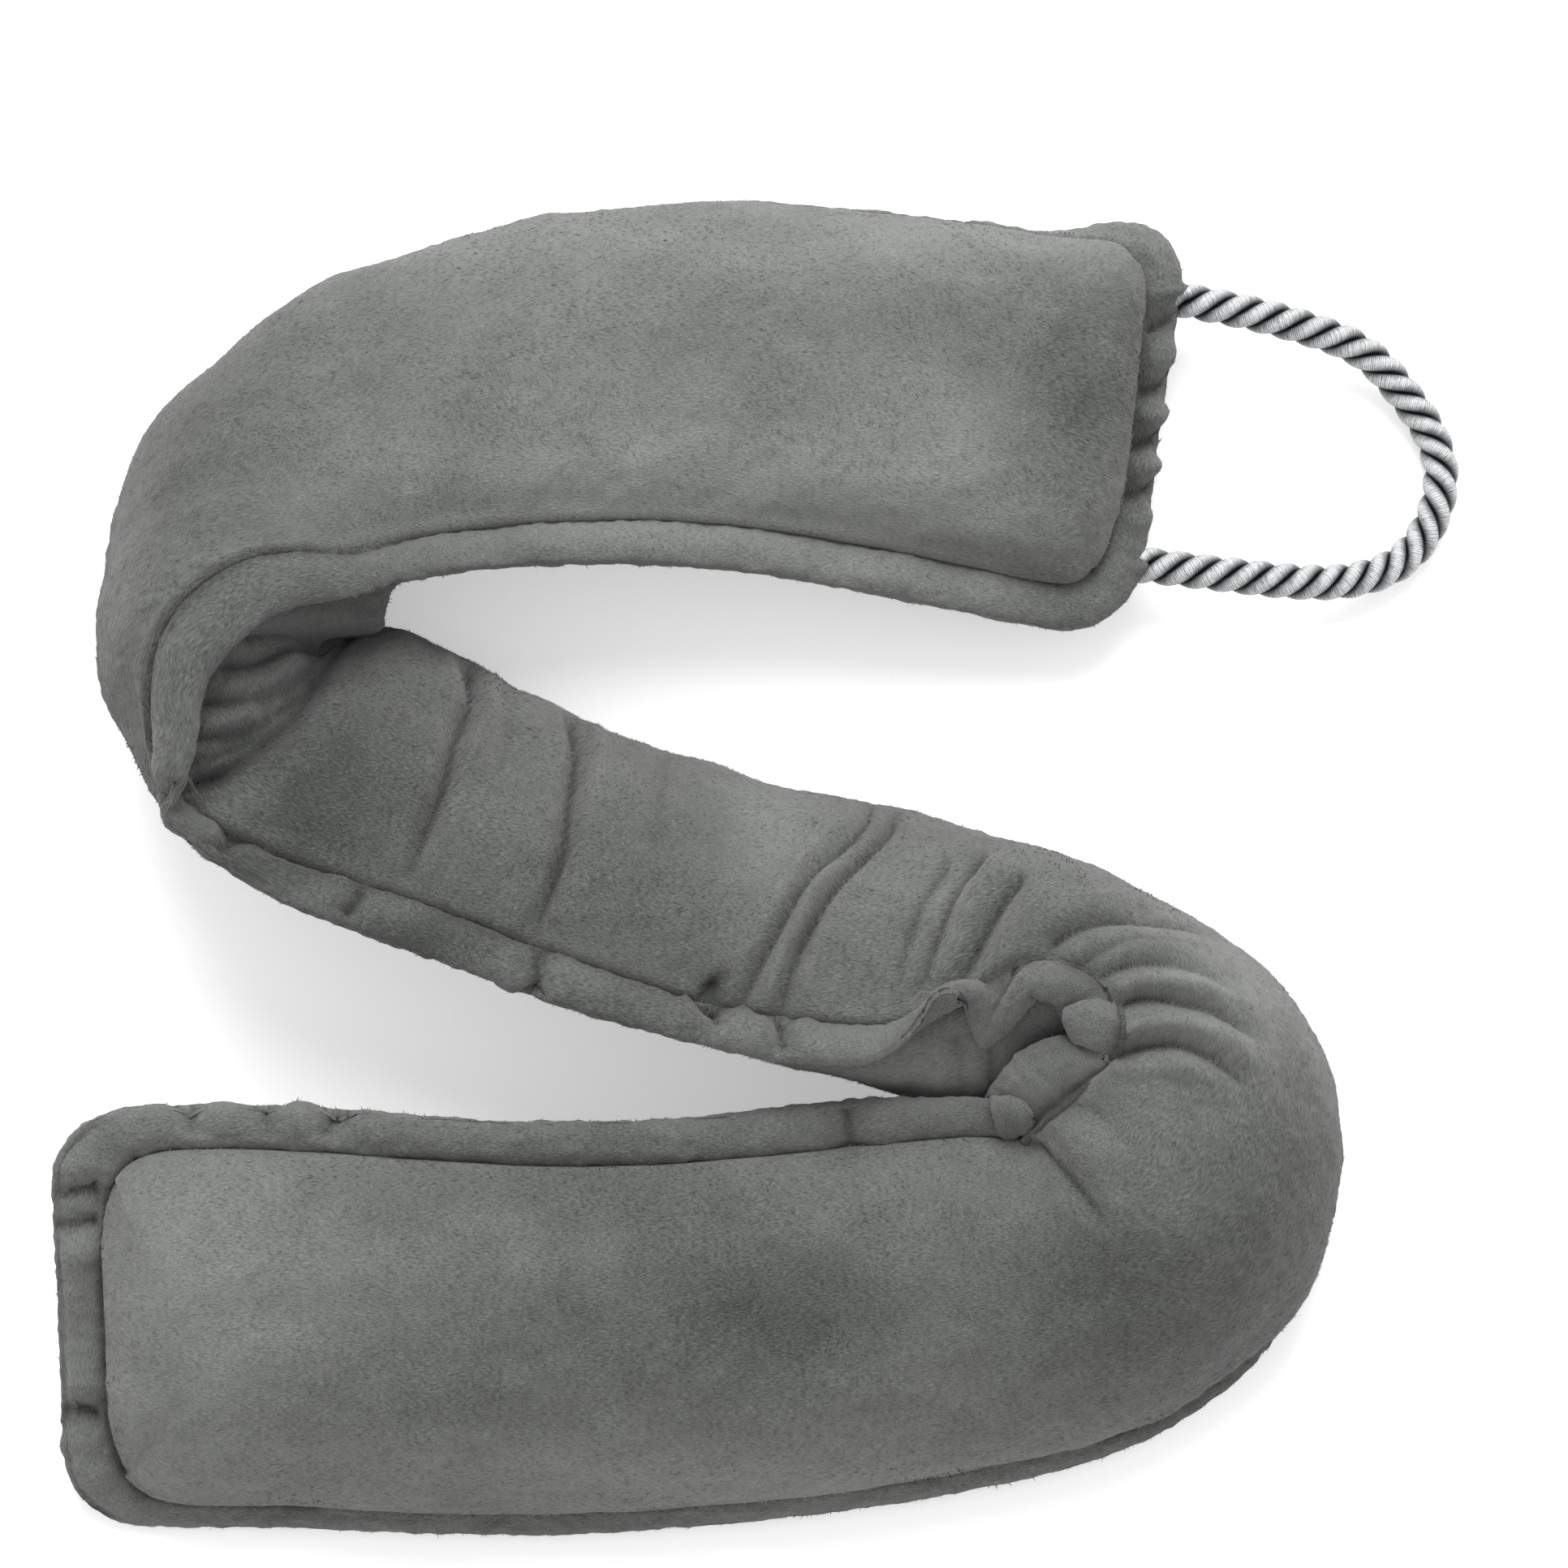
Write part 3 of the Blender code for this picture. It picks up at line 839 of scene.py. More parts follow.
class Value:
    """A number that changes over a surface, with Python's operators as Math nodes."""

    def __init__(self, tree: "Shading", socket: Any) -> None:
        """Wrap a node's output socket."""
        self.tree = tree
        self.socket = socket

    def maths(self, operation: str, *others: Any) -> "Value":
        """The Math node of that operation on this and the others."""
        inputs = {i: value for i, value in enumerate((self, *others))}
        return self.tree.node("ShaderNodeMath", {"operation": operation}, inputs)

    def __add__(self, other: Any) -> "Value":
        """This plus other."""
        return self.maths("ADD", other)

    __radd__ = __add__

    def __mul__(self, other: Any) -> "Value":
        """This times other."""
        return self.maths("MULTIPLY", other)

    def __sub__(self, other: Any) -> "Value":
        """This minus other."""
        return self.maths("SUBTRACT", other)

    def __rsub__(self, other: Any) -> "Value":
        """other minus this."""
        return self.tree.node("ShaderNodeMath", {"operation": "SUBTRACT"}, {0: other, 1: self})

    def clamped(self) -> "Value":
        """This kept from 0 to 1."""
        return self.tree.node("ShaderNodeClamp", {}, {"Value": self})


class Shading:
    """A material's node tree, with one method that adds any node."""

    def __init__(self, name: str) -> None:
        """Start a material with its main shader."""
        self.material = bpy.data.materials.new(name)
        self.material.use_nodes = True
        self.links = self.material.node_tree.links
        self.shader = self.material.node_tree.nodes["Principled BSDF"]

    def connect(self, target: Any, value: Any) -> None:
        """Set an input socket to a value, or link it to a socket."""
        if isinstance(value, Value):
            value = value.socket
        if isinstance(value, bpy.types.NodeSocket):
            self.links.new(value, target)
        else:
            target.default_value = value

    def node(self, kind: str, settings: dict[str, Any], inputs: dict[Any, Any], output: Any = 0) -> Value:
        """Add a node.

        Args:
            kind: Its type.
            settings: Its properties, set first.
            inputs: Values or links by a socket's number, identifier or name.
            output: Which output to return, by number or name.

        Returns:
            The output, wrapped.
        """
        made = self.material.node_tree.nodes.new(kind)
        for key, value in settings.items():
            setattr(made, key, value)
        by_identifier = {socket.identifier: socket for socket in made.inputs}
        for key, value in inputs.items():
            target = by_identifier.get(key) or made.inputs[key]
            self.connect(target, value)
        return Value(self, made.outputs[output])

    def noise(self, place: Value, scale: float, detail: float, roughness: float) -> Value:
        """Noise at a place, near 0.5."""
        inputs = {"Vector": place, "Scale": scale, "Detail": detail, "Roughness": roughness}
        return self.node("ShaderNodeTexNoise", {}, inputs, "Fac")

    def mix(self, share: Any, first: Any, second: Any) -> Value:
        """A colour between two."""
        inputs = {"Factor_Float": share, "A_Color": first, "B_Color": second}
        return self.node("ShaderNodeMix", {"data_type": "RGBA"}, inputs, 2)

    def bump(self, height: Any, strength: float, distance: float) -> Value:
        """The normal of a relief."""
        inputs = {"Strength": strength, "Distance": distance, "Height": height}
        return self.node("ShaderNodeBump", {}, inputs)

    def vector(self, operation: str, first: Any, second: Any) -> Value:
        """A Vector Math node's result."""
        return self.node("ShaderNodeVectorMath", {"operation": operation}, {0: first, 1: second})

    def set(self, **inputs: Any) -> None:
        """Set the main shader's sockets, named with underscores for spaces."""
        for key, value in inputs.items():
            self.connect(self.shader.inputs[key.replace("_", " ")], value)


@dataclass(frozen=True)
class Plush:
    """Short grey pile: clumps of fibre that lean one way and then another."""

    dark: tuple[float, float, float, float] = (0.052, 0.055, 0.051, 1)
    light: tuple[float, float, float, float] = (0.262, 0.270, 0.256, 1)
    clump_across: float = 0.00048
    clump_along: float = 0.0015
    fibre_stretch: tuple[float, float, float] = (2.2, 1.5, 1.0)
    sway: float = 0.007
    sway_scale: float = 60.0
    cloud_scale: float = 14.0
    patch_scale: float = 90.0
    middle_share: float = 0.40  # of the light colour, and then what each unevenness adds to it
    nap_and_painted_light_share: float = 0.34
    cloud_share: float = 0.45
    patch_share: float = 0.30
    clump_share: float = 0.80
    fibre_share: float = 0.80
    tip_share: float = 0.17
    clump_relief: float = 0.7
    fibre_relief: float = 0.3
    relief: float = 0.0008
    relief_strength: float = 0.9
    roughness: float = 0.95
    sheen: float = 0.25
    sheen_roughness: float = 0.5
    gloss: float = 0.12

    def build(self) -> bpy.types.Material:
        """Make the material.

        Clumps are noise on the cloth's own map, stretched along the nap and bent by wider noise.
        The attribute nap holds where the pile was stroked, with painted light and shade: lit and shaded
        patches, and painted shade at crease bottoms and along the flange's seam. tip is 1 at the ends of its
        fibres.
        """
        tree = Shading("plush")
        place = tree.node("ShaderNodeTexCoord", {}, {}, "Object")
        cloth = tree.node("ShaderNodeUVMap", {"uv_map": "cloth"}, {})
        nap = tree.node("ShaderNodeAttribute", {"attribute_name": "nap"}, {}, "Fac")
        tip = tree.node("ShaderNodeAttribute", {"attribute_name": "tip"}, {}, "Fac")
        wander = {"Vector": place, "Scale": self.sway_scale, "Detail": 2.0}
        sway = tree.node("ShaderNodeTexNoise", {}, wander, "Color")
        sway = tree.vector("SUBTRACT", sway, (0.5, 0.5, 0.5))
        sway = tree.node("ShaderNodeVectorMath", {"operation": "SCALE"}, {0: sway, "Scale": self.sway})
        swayed = tree.vector("ADD", cloth, sway)
        stretch = (1 / self.clump_across, 1 / self.clump_along, 1.0)
        swayed = tree.vector("MULTIPLY", swayed, stretch)
        clumps = tree.noise(swayed, 1.0, detail=2.0, roughness=0.6)
        stretched = tree.vector("MULTIPLY", swayed, self.fibre_stretch)
        fibres = tree.noise(stretched, 1.0, detail=2.0, roughness=0.6)
        clouds = tree.noise(place, self.cloud_scale, detail=2.0, roughness=0.5)
        patches = tree.noise(place, self.patch_scale, detail=3.0, roughness=0.6)
        # nap brings the painted light and shade into the colour, with the pile's tone.
        share = self.middle_share + nap * self.nap_and_painted_light_share + (clouds - 0.5) * self.cloud_share
        share = share + (patches - 0.5) * self.patch_share + (clumps - 0.5) * self.clump_share
        share = share + (fibres - 0.5) * self.fibre_share + tip * self.tip_share
        colour = tree.mix(share.clamped(), self.dark, self.light)
        height = clumps * self.clump_relief + fibres * self.fibre_relief
        bump = tree.bump(height, self.relief_strength, self.relief)
        tree.set(Base_Color=colour, Roughness=self.roughness, Normal=bump)
        tree.set(Sheen_Weight=self.sheen, Sheen_Roughness=self.sheen_roughness)
        tree.set(Specular_IOR_Level=self.gloss)
        return tree.material


@dataclass(frozen=True)
class Satin:
    """Strands wrapped in silver thread, with a painted highlight along their backs and painted shade where
    they meet.
    """

    # The painted shade's colour where strands meet, and the painted highlight's colour.
    dark: tuple[float, float, float, float] = (0.010, 0.012, 0.015, 1)
    light: tuple[float, float, float, float] = (0.84, 0.86, 0.87, 1)
    thread: float = 0.00042
    uneven_scale: tuple[float, float, float] = (500.0, 1500.0, 1.0)
    streak_scale: tuple[float, float, float] = (350.0, 5200.0, 1.0)
    uneven_turn: float = 5.0
    highlight_top: float = 1.25
    highlight_fall: float = 420.0  # for each metre round the strand from its back
    highlight_share: float = 0.66
    streak_share: float = 1.8
    thread_share: float = 0.45
    relief: float = 0.00012
    relief_strength: float = 0.8
    roughness: float = 0.35
    gloss: float = 0.4

    def build(self) -> bpy.types.Material:
        """Make the material, on the rope's own map: round the strand from its back, and along it."""
        tree = Shading("satin")
        cloth = tree.node("ShaderNodeUVMap", {"uv_map": "cloth"}, {})
        round_back = tree.node("ShaderNodeSeparateXYZ", {}, {"Vector": cloth}, "X")
        along = tree.node("ShaderNodeSeparateXYZ", {}, {"Vector": cloth}, "Y")
        uneven = tree.vector("MULTIPLY", cloth, self.uneven_scale)
        uneven = tree.noise(uneven, 1.0, detail=2.0, roughness=0.6)
        streaks = tree.vector("MULTIPLY", cloth, self.streak_scale)
        streaks = tree.noise(streaks, 1.0, detail=1.0, roughness=0.5)
        turn = along * (2 * math.pi / self.thread) + uneven * self.uneven_turn
        threads = turn.maths("SINE") * 0.5 + 0.5
        # Painted highlight on each strand's back, fading into painted shade where strands meet; the streaks
        # and threads show within it.
        back = (self.highlight_top - round_back * self.highlight_fall).clamped()
        share = back * self.highlight_share + (streaks - 0.5) * self.streak_share * back
        share = share + (threads - 0.5) * self.thread_share * back
        colour = tree.mix(share.clamped(), self.dark, self.light)
        bump = tree.bump(threads, self.relief_strength, self.relief)
        tree.set(Base_Color=colour, Roughness=self.roughness, Normal=bump)
        tree.set(Specular_IOR_Level=self.gloss)
        return tree.material


@dataclass(frozen=True)
class FoldShape:
    """A crease's section: a sharp trough in a wider one, between two ridges, with painted shade at its
    bottom.

    Gaps and reaches count in the crease's own widths.
    """

    facing: tuple[float, float] = (-0.05, 0.25)  # cosines to the camera where it starts and is whole
    route_points: int = 24
    reach: float = 5.0
    sharp_share: float = 0.6
    sharp_fall: float = 1.2
    soft_share: float = 0.4
    soft_reach: float = 1.8
    ridge_gap: float = 3.0
    ridge_reach: float = 1.6
    start: tuple[float, float] = (-0.02, 0.06)
    # How deep a crease is when its bottom takes full painted shade, and how far that shade reaches.
    shade_full_depth: float = 0.0045
    shade_reach: float = 0.55

    def moved(self, crease: Crease, gap: Array) -> Array:
        """How far the cloth is moved at a gap, outwards."""
        trough = self.sharp_share * np.exp(-self.sharp_fall * gap)
        trough += self.soft_share * bell(gap / self.soft_reach)
        return crease.ridge * bell((gap - self.ridge_gap) / self.ridge_reach) - crease.depth * trough

    def dark(self, crease: Crease, gap: Array) -> Array:
        """How much painted shade darkens its bottom at a gap, from 0 to 1."""
        return float(np.clip(crease.depth / self.shade_full_depth, 0, 1)) * bell(gap / self.shade_reach)


@dataclass
class Cover:
    """What the cushion's body and flange share: their cloth's unevenness, folds and nap, with painted light
    and shade.
    """

    spine: Spine
    photo: Photo
    grain: Grain = field(default_factory=Grain)
    fold: FoldShape = field(default_factory=FoldShape)
    lump: float = 0.0007
    nap: float = 0.00012
    hold: float = 0.022
    # How many stops darker the painted shade makes crease bottoms, and on the flange its seam.
    shaded: float = 1.3

    def lumps(self, points: Array) -> Array:
        """How far the stuffing pushes the cover out or lets it in."""
        return self.lump * banded(points, LUMPS, SEED)

    def fur(self, points: Array) -> Array:
        """The pile's own relief: short waves over the whole cover."""
        return self.nap * banded(points, FUR, SEED + len(LUMPS))

    def folds(self, points: Array, normals: Array, creases: tuple[Crease, ...]) -> tuple[Array, Array]:
        """How far creases move each point along its normal, and how much painted shade each lays on it, from
        0 to 1.

        A crease fades at its far end, and works on what faces the camera where the photograph shows it.
        """
        fold = self.fold
        pixels = self.photo.project(points)
        facing = smooth_step(*fold.facing, normals @ self.photo.axes[2])
        moved, crease_shade = np.zeros(len(points)), np.zeros(len(points))
        scale = self.photo.pixels_per_metre
        for crease in creases:
            knots = np.array(crease.route, float)
            length = running_length(knots)
            route = smooth_curve(length, knots, np.linspace(0, length[-1], fold.route_points))
            reach = fold.reach * crease.width * scale
            low, high = route.min(axis=0) - reach, route.max(axis=0) + reach
            near = np.flatnonzero(((pixels > low) & (pixels < high)).all(axis=1) & (facing > 0))
            gap, where = distance_to_route(pixels[near], route)
            gap = gap / scale / crease.width
            taper = np.sqrt(np.clip(1 - where**3, 0, 1)) * smooth_step(*fold.start, where)
            moved[near] += fold.moved(crease, gap) * taper * facing[near]
            crease_shade[near] = np.maximum(crease_shade[near], fold.dark(crease, gap) * taper * facing[near])
        return moved, crease_shade

    def grabbed(self, points: Array, along: Array) -> Array:
        """Points after the grabs: each moves them by move exp(-(distance / reach)^2)."""
        for grab in GRABS:
            gap = np.linalg.norm(points - np.array([grab.x, grab.y, grab.z]), axis=-1)
            share = bell(gap / grab.reach) * smooth_step(grab.after, grab.after + self.hold, along)
            points = points + share[..., None] * np.array([grab.move_x, grab.move_y, grab.move_z])
        return points

    def nap_and_painted_light(self, points: Array) -> Array:
        """How much lighter or darker each point is painted, in stops: the stroked pile's tone with painted
        light and shade.
        """
        pixels = self.photo.project(points)
        scale = self.photo.pixels_per_metre
        light = np.zeros(len(points))
        for patch in NAP_AND_PAINTED_LIGHT:
            offset = ((pixels[:, 0] - patch.u) / scale / patch.wide) ** 2
            offset += ((pixels[:, 1] - patch.v) / scale / patch.tall) ** 2
            light += patch.stops * np.exp(-offset)
        return light


@dataclass
class Body(Cover):
    """The stuffed body: the cover's two crowned panels."""

    usual_half: float = 0.043
    usual_crown: float = 0.027
    creased: tuple[float, float, float, float] = (0.22, 0.26, 0.66, 0.70)  # where the folds lie
    straight_rows: float = 0.7
    turning_rows: float = 0.016
    creased_rows: float = 0.5
    lump_fade: int = 5
    crease_fade: int = 2
    row_fade: int = 3
    overhang: float = 0.0012
    overhang_column: float = 1.9
    overhang_reach: float = 1.2
    column_step: float = 0.0018

    def even_shares(self, count: int) -> Array:
        """Places from -1 to 1 across the crown, a like distance apart over its curved surface."""
        share = np.sin(np.linspace(-np.pi / 2, np.pi / 2, FINE))
        spine = self.spine
        height = (1 - np.abs(share) ** spine.crown_power) ** spine.crown_fullness
        arc = running_length(np.column_stack([share * self.usual_half, height * self.usual_crown]))
        return np.interp(np.linspace(0, arc[-1], count + 1), arc, share)

    def rows(self) -> tuple[Array, Array]:
        """Where the body's rows lie: their places along the S, and their share of either end's rise.

        Returns:
            The places, and from 0 to 1 how far into an end's rise each lies, both (rows,).
        """
        spine, grain = self.spine, self.grain
        rise = self.even_shares(2 * grain.end_rows)[grain.end_rows :]
        span = spine.end_flange + spine.end_rise
        turning = np.abs(spine.columns["turning"])
        inside = (spine.along > span) & (spine.along < spine.length - span)
        wanted = self.straight_rows + self.turning_rows * turning
        wanted = wanted + self.creased_rows * between(spine.along, *self.creased)
        weight = np.cumsum(np.where(inside, wanted, 0))
        count = int((spine.length - 2 * span) / grain.row_step)
        middle = np.interp(np.linspace(0, weight[-1], count + 1)[1:-1], weight, spine.along)
        near = span - spine.end_rise * rise[::-1]
        far = spine.length - near[::-1]
        places = np.concatenate([near, middle, far])
        shares = np.concatenate([rise[::-1], np.zeros(count - 1), rise])
        return places, shares

    def panels(self) -> tuple[Array, Array, Array]:
        """The two crowned panels as rings round the cushion.

        In an end's rise, a square of even rows and columns is drawn in to the seam's rounded outline:
        (a, b) becomes (a, b) max(|a|, |b|) / (|a|^p + |b|^p)^(1/p), where p is the corner's power.

        Returns:
            Points (rows, around, 3), and their places along and across in metres of cloth.
        """
        spine = self.spine
        columns = self.even_shares(self.grain.body_columns)
        places, shares = self.rows()
        a = np.broadcast_to(columns, (len(places), len(columns)))
        b = np.broadcast_to(shares[:, None], a.shape)
        power = spine.corner_power(places)[:, None]
        largest = np.maximum(np.abs(a), np.abs(b))
        norm = (np.abs(a) ** power + np.abs(b) ** power) ** (1 / power)
        drawn = np.where(norm > 0, largest / np.maximum(norm, TINY), 1)
        near = places[:, None] < spine.length / 2
        end = spine.end_flange + spine.end_rise * (1 - b * drawn)
        along = np.where(b > 0, np.where(near, end, spine.length - end), places[:, None])
        half = spine.at(along)["half"]
        across = a * drawn * half
        crown = spine.crown(along, across, half)
        here = spine.at(along)
        face_a = spine.place(along, across, here["crown_a"] * crown)
        face_b = spine.place(along, across, -here["crown_b"] * crown)
        rings = np.concatenate([face_a, face_b[:, -2:0:-1]], axis=1)
        wrapped = np.concatenate([along, along[:, -2:0:-1]], axis=1)
        girth = np.broadcast_to(np.arange(rings.shape[1]) * self.column_step, wrapped.shape)
        return rings, wrapped, girth

    def puffs(self, along: Array) -> Array:
        """How far the stuffing's bulges push each point of the panels: out exp(-(offset / reach)^2)."""
        columns = self.grain.body_columns
        share = self.even_shares(columns)
        share = np.concatenate([share, share[-2:0:-1]])
        side = np.where(np.arange(len(share)) <= columns, Face.A.value, Face.B.value)
        across = share * self.spine.at(along)["half"]
        moved = np.zeros_like(along)
        for puff in PUFFS:
            half = float(self.spine.at(np.array([puff.along]))["half"][0])
            offset = ((along - puff.along) / puff.reach_along) ** 2
            offset = offset + ((across - puff.across * half) / puff.reach_across) ** 2
            moved += puff.out * np.exp(-offset) * (side == puff.face.value)
        return moved

    def build(self) -> bpy.types.Object:
        """Make the stuffed body: rings round it, closed along both end seams."""
        rings, along, girth = self.panels()
        count, around = rings.shape[:2]
        normals = grid_normals(rings, closed=False)
        flat = rings.reshape(-1, 3)
        push = (self.lumps(flat) + self.fur(flat)).reshape(rings.shape[:2]) + self.puffs(along)
        sharp, crease_shade = self.folds(flat, normals.reshape(-1, 3), CREASES)
        sharp = sharp.reshape(rings.shape[:2])
        columns = self.grain.body_columns
        column, row = np.arange(around) % columns, np.arange(count)
        from_seam = np.minimum(column, columns - column).astype(float)
        from_end = np.minimum(row, count - 1 - row).astype(float)
        row_fade = smooth_step(0, self.row_fade, from_end)[:, None]
        push = push * smooth_step(0, self.lump_fade, from_seam)
        push = (push + sharp * smooth_step(0, self.crease_fade, from_seam)) * row_fade
        push += self.overhang * bell((from_seam - self.overhang_column) / self.overhang_reach) * row_fade
        rings = settle(self.grabbed(rings + push[..., None] * normals, along))
        faces = ring_faces(count, around, closed=False)
        corners = np.stack([girth, along], axis=-1).reshape(-1, 2)[faces]
        wraps = faces[:, 3] % around == 0
        corners[wraps, 2:4, 0] = around * self.column_step
        merged = np.arange(count * around)
        for first in (0, (count - 1) * around):
            back = np.arange(columns + 1, around)
            merged[first + back] = first + around - back
        used, again = np.unique(merged[faces], return_inverse=True)
        points, faces = rings.reshape(-1, 3)[used], again.reshape(faces.shape)
        made = mesh_object("cushion_body", points, [faces], [corners])
        # nap: the nap and painted light patches, less the painted shade at crease bottoms.
        point_values(made, "nap", self.nap_and_painted_light(points) - self.shaded * crease_shade[used])
        return made


@dataclass
class Flange(Cover):
    """The padded flange round the body, crumpled where a bend is too tight for it."""

    neck: float = 0.0009
    root: float = 0.0045
    closer_rows: tuple[float, float, float, float] = (0.24, 0.25, 0.42, 0.43)  # along the near bend
    closer: float = 1.6
    narrowest: float = 0.003
    widest: float = 0.030
    width_tries: int = 136
    width_reach: int = 4
    section_points: int = 41
    open_angle: float = 166.0  # degrees from the outer edge to either root
    dip: float = 0.05
    dip_angle: float = 13.0
    root_reaches: tuple[float, float] = (1.0, 0.4)
    fullest_width: float = 0.0135
    ripple: float = 0.10
    ripple_length: float = 0.021
    ripple_waves: int = 9
    ripple_seed: int = SEED + 5
    sewn_end: tuple[float, float] = (0.006, 0.020)
    sewn_depth: float = 0.55
    sewn_share: float = 0.86
    sewn_reach: float = 0.06
    flat_root: float = 0.8
    lump_share: float = 0.35
    girth_step: float = 0.0008
    # Painted shade along the flange's root at the body's seam: its reach as a share of the width, and its
    # strength beside a crease's.
    seam_reach: float = 0.16
    seam_dark: float = 0.6
    inside_seam: float = 0.004
    lobe_fullness: float = 0.55
    lobe_thickness: tuple[float, float] = (0.0040, 0.0078)
    lobe_smoothing: int = 3
    lobe_ramp: float = 0.006

    def corner(self, end: float, side: float, angle: Array) -> tuple[Array, Array, Array, Array]:
        """One round corner of the outline.

        Args:
            end: The end it is at, far (+1) or near (-1).
            side: The side it is on, inner (+1) or outer (-1).
            angle: How far round it each place is, from the side (0) to the end.

        Returns:
            Places along and across, and the inward direction's two parts.
        """
        spine, sine, cosine = self.spine, np.sin(angle), np.cos(angle)
        middle = spine.length - spine.corner if end > 0 else spine.corner
        along = middle + end * spine.corner * sine
        across = side * (spine.reach(along, side) - spine.corner + spine.corner * cosine)
        return along, across, -end * sine, -side * cosine

    def outline(self) -> tuple[Array, Array, Array, Array]:
        """The flange's outer edge in the flat cover, all round.

        Returns:
            Places along and across, and the inward direction's two parts, each (places,).
        """
        spine, step = self.spine, self.grain.flange_step
        corner = spine.corner
        turn = np.linspace(0, np.pi / 2, int(corner * np.pi / 2 / step))[:-1]
        dense = np.linspace(corner, spine.length - corner, FINE)
        weight = 1 + self.closer * between(dense, *self.closer_rows)
        weight = np.concatenate([[0], np.cumsum((weight[1:] + weight[:-1]) / 2 * np.diff(dense))])
        inner = np.interp(np.linspace(0, weight[-1], int(weight[-1] / step))[:-1], weight, dense)
        outer = np.linspace(corner, spine.length - corner, int((spine.length - 2 * corner) / step))[:-1]
        parts = []
        for side in (1.0, -1.0):
            # The inner side runs to the far end, and the outer side back to the near end.
            along = inner if side > 0 else spine.length - outer
            flat = np.ones_like(along)
            parts.append((along, side * spine.reach(along, side), 0 * flat, -side * flat))
            parts.append(self.corner(side, side, turn))
            tip = np.array([(spine.length - corner if side > 0 else corner) + side * corner])
            low = float(spine.reach(tip, side)[0]) - corner
            high = corner - float(spine.reach(tip, -side)[0])
            across = side * np.linspace(low, high, int((low - high) / step))[:-1]
            flat = np.ones_like(across)
            parts.append((tip * flat, across, -side * flat, 0 * flat))
            parts.append(self.corner(side, -side, np.pi / 2 - turn))
        along, across, in_along, in_across = (np.concatenate(column) for column in zip(*parts))
        return along, across, in_along, in_across

    def seam_width(self, along: Array, across: Array, in_along: Array, in_across: Array) -> Array:
        """How wide the flange is: from the outer edge inwards to the body's seam."""
        tries = np.linspace(self.narrowest, self.widest, self.width_tries)
        at = along[:, None] + tries * in_along[:, None]
        off = across[:, None] + tries * in_across[:, None]
        ring = self.spine.ring(at, off, self.spine.at(at)["half"])
        width = tries[(ring <= 1.0).argmax(axis=1)]
        lap = 2 * self.width_reach
        return averaged(np.concatenate([width[-lap:], width, width[:lap]]), self.width_reach)[lap:-lap]

    def profile(self) -> tuple[Array, Array, Array]:
        """The flange's section: share of its width from the seam, share of its half thickness, and root.

        From the root on face a it goes over the puff, dips into the edge seam, and comes back on face b.

        Returns:
            Width shares, thickness shares, and how far each point reaches in from the seam (0 to 1).
        """
        angle = np.radians(np.linspace(self.open_angle, -self.open_angle, self.section_points))
        share = 0.5 + 0.5 * np.cos(angle) * (1 - self.dip * bell(angle / np.radians(self.dip_angle)))
        at_root = np.array(self.root_reaches)
        widths = np.concatenate([0 * at_root, share, 0 * at_root])
        heights = np.concatenate([np.ones_like(at_root), np.sin(angle), -np.ones_like(at_root)])
        roots = np.concatenate([at_root, np.zeros_like(share), at_root[::-1]])
        return widths, heights, roots

    def crumple(
        self,
        lobes: Array,
        rings: Array,
        along: Array,
        across: Array,
        shares: Array,
        heights: Array,
        roots: Array,
    ) -> Array:
        """The flange's rings with one bend's lobes in place.

        There a ring runs straight from the seam to the lobes' edge, and its thickness stands
        square to that and to the flange's own direction, halfway between root and self.

        Args:
            lobes: The lobes as numbers, one a row.
            rings: The regular flange, (places, ring, 3).
            along: Each ring's place along the S.
            across: Each ring's place across it.
            shares: The section's share of the width at each point of a ring.
            heights: Its share of the thickness.
            roots: How far each point reaches in from the seam, from 0 to 1.

        Returns:
            The rings, crumpled.
        """
        first, last = lobes[0, 0], lobes[-1, 0]
        chosen = np.flatnonzero((across > 0) & (along > first) & (along < last))
        chosen = chosen[np.argsort(along[chosen])]
        place = along[chosen]
        here = self.spine.at(place)
        root = self.spine.place(place, here["half"], np.zeros_like(place))
        at = smooth_curve(lobes[:, 0], lobes[:, 1:], place)
        edge = self.photo.unproject(at[:, :2], at[:, 2])
        reach = edge - root
        run = np.gradient(root + 0.5 * reach, axis=0)
        inside = here["half"] - self.inside_seam
        inward = self.spine.place(place, inside, np.zeros_like(place)) - root
        stand = np.cross(run, reach).T
        stand = unit(np.stack([averaged(part, self.lobe_smoothing) for part in stand], axis=-1))
        width = np.linalg.norm(reach, axis=1)
        thick = np.clip(self.lobe_fullness * width, *self.lobe_thickness) / 2
        lofted = np.sign(heights) * np.maximum(np.abs(heights) * thick[:, None], self.neck)
        lobed = (
            root[:, None]
            + shares[:, None] * reach[:, None]
            + (roots * self.flat_root)[:, None] * inward[:, None]
            + lofted[..., None] * stand[:, None]
        )
        ramp = self.lobe_ramp
        share = between(place, first, first + ramp, last - ramp, last)
        rings[chosen] += share[:, None, None] * (lobed - rings[chosen])
        return rings

